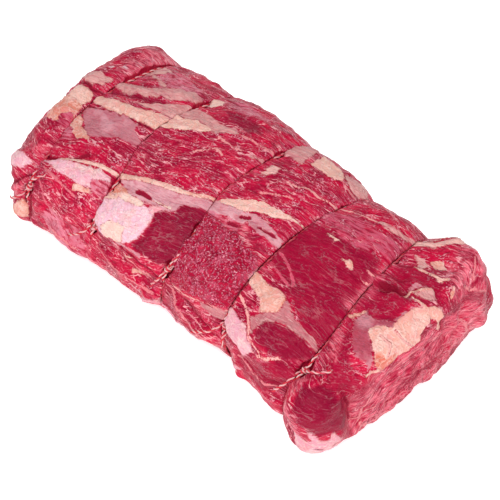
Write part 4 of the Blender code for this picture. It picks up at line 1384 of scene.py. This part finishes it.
# %% The stuffs over the lean
streak_edge = add(tree, "Math", pattern["bundles"], 0.5, operation="SUBTRACT")
grit_edge = add(tree, "Math", pattern["grit"], 0.5, operation="SUBTRACT")
grit_edge = add(tree, "Math", grit_edge, GRITTY_EDGE, operation="MULTIPLY")
colour = lean
for stuff, (cool, warm, streaked, layers, thinned) in LOOKS.items():
    softness = STUFFS[stuff][1]
    depth_at = add(tree, "Attribute", attribute_name=stuff, output=AS_NUMBER)
    field = add(tree, "Math", depth_at, grit_edge, operation="ADD")
    field = add(tree, "Math", streak_edge, streaked, field, operation="MULTIPLY_ADD")
    pattern[stuff] = add(tree, "MapRange", field, -softness, softness, **SMOOTH)
    body = layered(add(tree, "Mix", pattern["tint"], cool, warm, **COLOURS), layers)
    colour = add(tree, "Mix", shown((stuff,), *thinned), colour, body, **COLOURS)
# Painted highlight by each tie: pale pucker stripes over a darker red.
by_the_tie = add(tree, "Mix", pattern["stripes"], "#980a2c", "#c84c66", **COLOURS)
# Painted shade: where the crease attribute is deep, a dark red is laid in each tie's groove.
colour = layered(
    colour,
    ((by_the_tie, ("near_tie", 0.45, 0.95, 0.0, 0.45)), ("#a20a2c", ("crease", 0.12, 1.1, 0.0, 0.92))),
)
tree.links.new(colour, shader.inputs["Base Color"])
print("colour:", len(tree.nodes), "nodes")

# %% [markdown]
# Wet lean is glossier than fat, which is greasy but dull, and silverskin is the glossiest. The finest
# relief, under half a millimetre, is too fine for the mesh, so it is a bump that has the same patterns as
# the colours.

# %% Gloss and the finest relief
LEAN_ROUGHNESS = 0.33
FAT_ROUGHNESS = 0.46
GRAIN_ROUGHNESS = 0.08
SILVERSKIN_ROUGHNESS = -0.06
FAT_BUMP = 0.32
hard = pattern["grey_fat"]
for stuff in ("pink_fat", "cream_fat"):
    hard = add(tree, "Math", hard, pattern[stuff], operation="MAXIMUM")
pattern["hard fat"] = hard
grain = shown(("grit", 0.3, 0.7, -GRAIN_ROUGHNESS, GRAIN_ROUGHNESS))
roughness = shown(("hard fat", 0.0, 1.0, LEAN_ROUGHNESS, FAT_ROUGHNESS))
roughness = add(tree, "Math", roughness, grain, operation="ADD")
silver = (pattern["silverskin"], SILVERSKIN_ROUGHNESS)
roughness = add(tree, "Math", *silver, roughness, operation="MULTIPLY_ADD")
tree.links.new(roughness, shader.inputs["Roughness"])

height = 0.0
for name, amount in (("bundles", 0.8), ("threads", 0.22), ("grit", 0.5)):
    height = add(tree, "Math", pattern[name], amount, height, operation="MULTIPLY_ADD")
height = add(tree, "Math", height, shown(("hard fat", 0.0, 1.0, 1.0, FAT_BUMP)), operation="MULTIPLY")
RISES = (
    (0.8, ("crumbs",), ("crumbly_lean",)),
    (0.3, ("wrinkles",), ("hard fat",)),
    (0.3, ("lobules",), ("pink_fat",)),
    (0.3, ("marbling",)),
    (1.0, ("puckers",), ("near_tie",)),
    (0.7, ("patch",)),
)
for amount, *parts in RISES:
    height = add(tree, "Math", shown(*parts), amount, height, operation="MULTIPLY_ADD")
tree.links.new(add(tree, "Bump", 1.0, MM, None, height), shader.inputs["Normal"])

beef.data.materials.append(beef_material)
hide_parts("beef")
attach(beef, "root")
print("raw beef:", len(tree.nodes), "nodes")

# %% [markdown]
# Butcher's twine is two cotton plies, one bleached and one dyed red, twisted so that it looks like a
# barber's pole. It could be one tube with a striped texture, but two real plies give the dashes and the
# bumpy outline. Cotton is matt with fine lint, and here the meat's juice has stained it: most where it lies
# in a groove.

# %% Spun cotton, bleached and dyed
LINT_SIZE = 0.25 * MM
STAIN_SIZE = 5.0 * MM
LINT_HEIGHT = 0.12 * MM


def cotton(name, colour, shade):
    """Cotton ply: a matt fibre with fine lint, spun and dyed."""
    material, tree, shader = new_material(name, {"Roughness": 0.8})
    at = add(tree, "TexCoord", output=OBJECT_PLACE)
    lint = add(tree, "TexNoise", at, 1 / LINT_SIZE)
    fluff = add(tree, "MapRange", lint, 0.35, 0.65, **SMOOTH)
    stain = add(tree, "MapRange", add(tree, "TexNoise", at, 1 / STAIN_SIZE), 0.45, 0.65, 0.0, 0.35, **SMOOTH)
    soaked = add(tree, "Attribute", attribute_name="soaked", output=AS_NUMBER)
    body = add(tree, "Mix", fluff, shade, colour, **COLOURS)
    body = add(tree, "Mix", stain, body, "#d4607a", **COLOURS)
    tree.links.new(add(tree, "Mix", soaked, body, "#b21c38", **COLOURS), shader.inputs["Base Color"])
    tree.links.new(add(tree, "Bump", 1.0, LINT_HEIGHT, None, lint), shader.inputs["Normal"])
    return material


red_ply = cotton("red_cotton_ply", "#d8142e", "#b00c26")
white_ply = cotton("white_cotton_ply", "#eec8c4", "#d49a9c")
print("plies:", red_ply.name, white_ply.name)

# %% Sizes of the twine, and where each knot's loose tails end as (along, degrees round)
PLY_RADIUS = 0.52
PLY_OFFSET = 0.46
PLY_PITCH = 6.6
PLY_SIDES = 8
PLY_STEP = 0.6
FRAY = 2.5
TWINE_LIFT = 1.5
KNOT_RAISE = 1.7
KNOT_FADE = 7.5
WRAP_RADIUS = 1.75
WRAP_PITCH = 1.9
WRAP_TURNS = 2
TAIL_LIFT = 2.3
TAIL_HUMP = 1.0
SOAKED = 0.85
TAIL_SOAKED = 0.15
DRY_DEGREES = 8.0
SOAK_DEGREES = 10.0
FRAY_SPREAD = 0.7
FRAY_THINNING = 0.25
TAIL_SHARES = np.linspace(0, 1, 26)[4:]
COIL_STEPS = 40
TAILS = (
    ((-110, 56), (-137, 82)),
    ((-83, 90), (-59, 70)),
    ((-7, 86), (5, 52)),
    ((36, 94), (63, 88)),
    ((103, 79), (134, 44)),
)
print("twine", round(2 * (PLY_OFFSET + PLY_RADIUS)), "mm thick")


# %% Even and smooth paths
def smoothed(path, passes=3):
    """The same path with its corners rounded."""
    for _ in range(passes):
        path = np.concatenate([path[:1], (path[:-2] + 2 * path[1:-1] + path[2:]) / 4, path[-1:]])
    return path


def evenly(values, closed):
    """A path in equal steps, with whatever its points carry after their xyz."""
    values = np.vstack([values, values[:1]]) if closed else values
    length = np.concatenate([[0.0], np.cumsum(np.linalg.norm(np.diff(values[:, :3], axis=0), axis=1))])
    count = max(3, round(length[-1] / PLY_STEP))
    at = np.linspace(0, length[-1], count + 1)[: count if closed else None]
    return np.stack([np.interp(at, length, column) for column in values.T], axis=1)


print("steps of", PLY_STEP, "mm")


# %% Two plies twisted round a path
def ply_faces(first, rows, closed):
    """The faces of one ply's tube, whose rings start at this point, with flat ends if it is open."""
    faces = band_faces(first, rows, PLY_SIDES, closed)
    if not closed:
        faces.append(tuple(first + k for k in reversed(range(PLY_SIDES))))
        faces.append(tuple(first + (rows - 1) * PLY_SIDES + k for k in range(PLY_SIDES)))
    return faces


def twisted(path, outward, closed):
    """Points and faces of two plies twisted round a path: one list of faces for each ply."""
    ahead = np.roll(path, -1, axis=0) - np.roll(path, 1, axis=0) if closed else np.gradient(path, axis=0)
    ahead = unit(ahead)
    across = unit(np.cross(ahead, outward))
    upward = np.cross(across, ahead)
    at = np.concatenate([[0.0], np.cumsum(np.linalg.norm(np.diff(path, axis=0), axis=1))])
    length = at[-1] + (np.linalg.norm(path[0] - path[-1]) if closed else 0.0)
    rounds = max(1, round(length / PLY_PITCH)) if closed else length / PLY_PITCH
    twist = 2 * math.pi * rounds * at / length
    ends = np.zeros(len(path)) if closed else 1 - np.clip(np.minimum(at, length - at) / FRAY, 0, 1)
    side = 2 * math.pi * np.arange(PLY_SIDES) / PLY_SIDES
    spread = np.cos(side)[:, None, None] * upward + np.sin(side)[:, None, None] * across
    radius = (PLY_RADIUS * (1 - FRAY_THINNING * ends))[:, None]
    away = (PLY_OFFSET + FRAY_SPREAD * ends)[:, None]
    points, faces = [], []
    for ply in range(2):
        angle = (twist + math.pi * ply)[:, None]
        offset = away * (np.cos(angle) * upward + np.sin(angle) * across)
        ring = (path + offset + radius * spread).transpose(1, 0, 2)
        faces.append(ply_faces(ply * len(path) * PLY_SIDES, len(path), closed))
        points.append(ring.reshape(-1, 3))
    return np.concatenate(points), faces


print("a ply has", PLY_SIDES, "sides")

# %% [markdown]
# A loop lies on the floor of its groove and rises over its knot. The knot is the twine's own end, wrapped
# twice round the loop and left with two loose tails that lie on the meat. Both are laid on the plain solid
# with its grooves, not on the fine skin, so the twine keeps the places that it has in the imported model.

# %% Where the twine lies
GROOVE_WALL = ((GROOVE_FLOOR, 3.8, 6.0), (1.0, 0.16, 0.0))


def solid_skin(along, turn):
    """The roll with its broad forms and the floors of its grooves, without the fine relief."""
    place = plain_skin(along, turn)
    out, _ = skin_frame(along, turn)
    off = np.abs(along[:, None] - tie_places)
    depths = np.array([round_through(GROOVE_DEPTHS[tie], turn) for tie in np.argmin(off, axis=1)])
    wall = np.interp(off.min(axis=1), *GROOVE_WALL)[:, None]
    place = place + out * (broad_height(place) - depths * wall)[..., None]
    place[..., 2] = np.maximum(place[..., 2], 0.0)
    return place, out


def loop_route(tie, from_knot):
    """The loop's path and its outward directions, one point for each degree round."""
    along = tie_along(tie)
    floor, out = solid_skin(np.array([along - GROOVE_FLOOR, along + GROOVE_FLOOR]), np.arange(360) / 360)
    outward = unit(out.mean(axis=0))
    lift = TWINE_LIFT + KNOT_RAISE * np.clip(2 - from_knot / KNOT_FADE, 0, 1)
    return floor.mean(axis=0) + outward * lift[:, None], outward


print("the groove's wall ends", GROOVE_WALL[0][-1], "mm from the tie")


# %% The knot and its loose tails
def tail_route(tie, tip):
    """A loose tail's path over the meat, from the knot to its tip."""
    start = (tie_along(tie), KNOTS[tie])
    ways = []
    for share in TAIL_SHARES:
        spot = [here + (there - here) * share for here, there in zip(start, tip)]
        ground, rise = solid_skin(np.array([spot[0]]), np.array([spot[1] / 360]))
        ways.append(ground[0, 0] + rise[0, 0] * (TAIL_LIFT + TAIL_HUMP * math.sin(math.pi * share)))
    return np.array(ways)


def knot_route(tie, loop, outward):
    """The path of the knot: in along one tail, twice round the loop, and out along the other."""
    knot = int(round(KNOTS[tie]))
    middle, upward = loop[knot], outward[knot]
    ahead = unit(loop[knot + 1] - loop[knot - 1])
    aside = np.cross(ahead, upward)
    tails = [tail_route(tie, tip) for tip in TAILS[tie]]
    start = tails[0][0] - middle
    sweep = np.linspace(0, 2 * math.pi * WRAP_TURNS, COIL_STEPS)
    angle = (math.atan2(start @ aside, start @ upward) + sweep)[:, None]
    coil = middle + ahead * ((sweep / (2 * math.pi) - WRAP_TURNS / 2) * WRAP_PITCH)[:, None]
    coil = coil + WRAP_RADIUS * (np.cos(angle) * upward + np.sin(angle) * aside)
    return smoothed(np.concatenate([tails[0][::-1], coil, tails[1]])), upward


print("knots at", KNOTS, "degrees")


# %% The five ties
def make_tie(tie):
    """One loop of twine with its knot and the knot's two loose ends."""
    degrees = np.arange(360.0)
    from_knot = np.abs((degrees - KNOTS[tie] + 180) % 360 - 180)
    loop, outward = loop_route(tie, from_knot)
    string, upward = knot_route(tie, loop, outward)
    wet = SOAKED * np.clip((from_knot - DRY_DEGREES) / SOAK_DEGREES, 0, 1) * (1 - openness(tie, degrees))
    upwards = np.tile(upward, (len(string), 1))
    damp = np.full(len(string), TAIL_SOAKED)
    runs = ((np.column_stack([loop, outward, wet]), True), (np.column_stack([string, upwards, damp]), False))
    points, faces, soaked = [], [[], []], []
    for values, closed in runs:
        fine = evenly(values, closed)
        made, found = twisted(fine[:, :3], fine[:, 3:6], closed)
        first = sum(len(p) for p in points)
        points.append(made)
        soaked.append(np.tile(np.repeat(fine[:, 6], PLY_SIDES), 2))
        for ply in range(2):
            faces[ply] += [tuple(first + i for i in corner) for corner in found[ply]]
    name = f"butchers_twine_{tie + 1}"
    mesh = bpy.data.meshes.new(name)
    mesh.from_pydata(((np.concatenate(points) + shift) * MM).tolist(), [], faces[0] + faces[1])
    mesh.materials.append(red_ply)
    mesh.materials.append(white_ply)
    mesh.polygons.foreach_set("material_index", [0] * len(faces[0]) + [1] * len(faces[1]))
    mesh.attributes.new("soaked", "FLOAT", "POINT").data.foreach_set("value", np.concatenate(soaked))
    mesh.shade_smooth()
    twine = bpy.data.objects.new(name, mesh)
    bpy.context.scene.collection.objects.link(twine)
    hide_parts(f"twine_tie_{tie + 1}")
    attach(twine, "root")
    return twine


ties = [make_tie(tie) for tie in range(TIE_COUNT)]
print([len(tie.data.polygons) for tie in ties], "faces of twine")

# %% [markdown]
# The photograph was taken on a white ground in very even light. A bright world and a large soft lamp give
# that: the lamp is above and to the right, where the wet glints come from. The ground is matt white paper
# that glows a little, as a lit studio ground does, so it stays white beside the meat.

# %% The white ground
FLOOR_HALF = 3.0
GROUND_DROP = 0.3
PAPER_GRAIN = 2.0 * MM

scene = bpy.context.scene
ground_mesh = bpy.data.meshes.new("white_ground")
CORNERS = ((-1, -1), (1, -1), (1, 1), (-1, 1))
corners = [(x * FLOOR_HALF, y * FLOOR_HALF, -GROUND_DROP * MM) for x, y in CORNERS]
ground_mesh.from_pydata(corners, [], [(0, 1, 2, 3)])
ground = bpy.data.objects.new("white_ground", ground_mesh)
paper, tree, shader = new_material("white_paper_ground", {"Emission Strength": 0.5, "Roughness": 0.9})
grain = add(tree, "TexNoise", add(tree, "TexCoord", output=OBJECT_PLACE), 1 / PAPER_GRAIN)
for socket in ("Base Color", "Emission Color"):
    tree.links.new(add(tree, "Mix", grain, "#ffffff", "#fbfbfb", **COLOURS), shader.inputs[socket])
ground_mesh.materials.append(paper)
scene.collection.objects.link(ground)
print("ground", 2 * FLOOR_HALF, "m wide")

# %% World and lamp
LAMP_SIZE = 0.8
LAMP_PLACE = (0.5, -0.62, 1.2)
LAMP_TARGET = (0.0, 0.0, 0.03)
LAMP_POWER = 16.0
WORLD_STRENGTH = 0.65

world = bpy.data.worlds.new("even_light")
scene.world = world
world.use_nodes = True
world.node_tree.nodes["Background"].inputs["Color"].default_value = linear("#ffffff")
world.node_tree.nodes["Background"].inputs["Strength"].default_value = WORLD_STRENGTH
scene.view_settings.view_transform = "Standard"


def facing(place, target):
    """The turn that makes a camera or a lamp look from a place at a target."""
    away = unit(np.asarray(place, float) - np.asarray(target, float))
    right = unit(np.cross((0.0, 0.0, 1.0), away))
    return Matrix(np.stack([right, np.cross(away, right), away], axis=1).tolist()).to_euler()


lamp_data = bpy.data.lights.new("soft_lamp", "AREA")
lamp_data.energy = LAMP_POWER
lamp_data.size = LAMP_SIZE
lamp = bpy.data.objects.new("soft_lamp", lamp_data)
lamp.location = LAMP_PLACE
lamp.rotation_euler = facing(LAMP_PLACE, LAMP_TARGET)
scene.collection.objects.link(lamp)
print("lamp of", LAMP_POWER, "W, world strength", WORLD_STRENGTH)

# %% [markdown]
# The camera is the one that the marks were placed with, so the picture shows them where the photograph
# does. Its lens follows from the focal length in pixels, as a real one's would from its sensor.

# %% The camera's object
camera_data = bpy.data.cameras.new("camera")
camera_data.sensor_width = SENSOR
camera_data.lens = FOCAL_PIXELS * SENSOR / PICTURE
camera_data.clip_start = 0.05
camera = bpy.data.objects.new("camera", camera_data)
camera.location = ((camera_place + shift) * MM).tolist()
camera.rotation_euler = facing(camera_place, VIEW_TARGET)
scene.collection.objects.link(camera)
scene.camera = camera
print("lens", round(camera_data.lens), "mm")
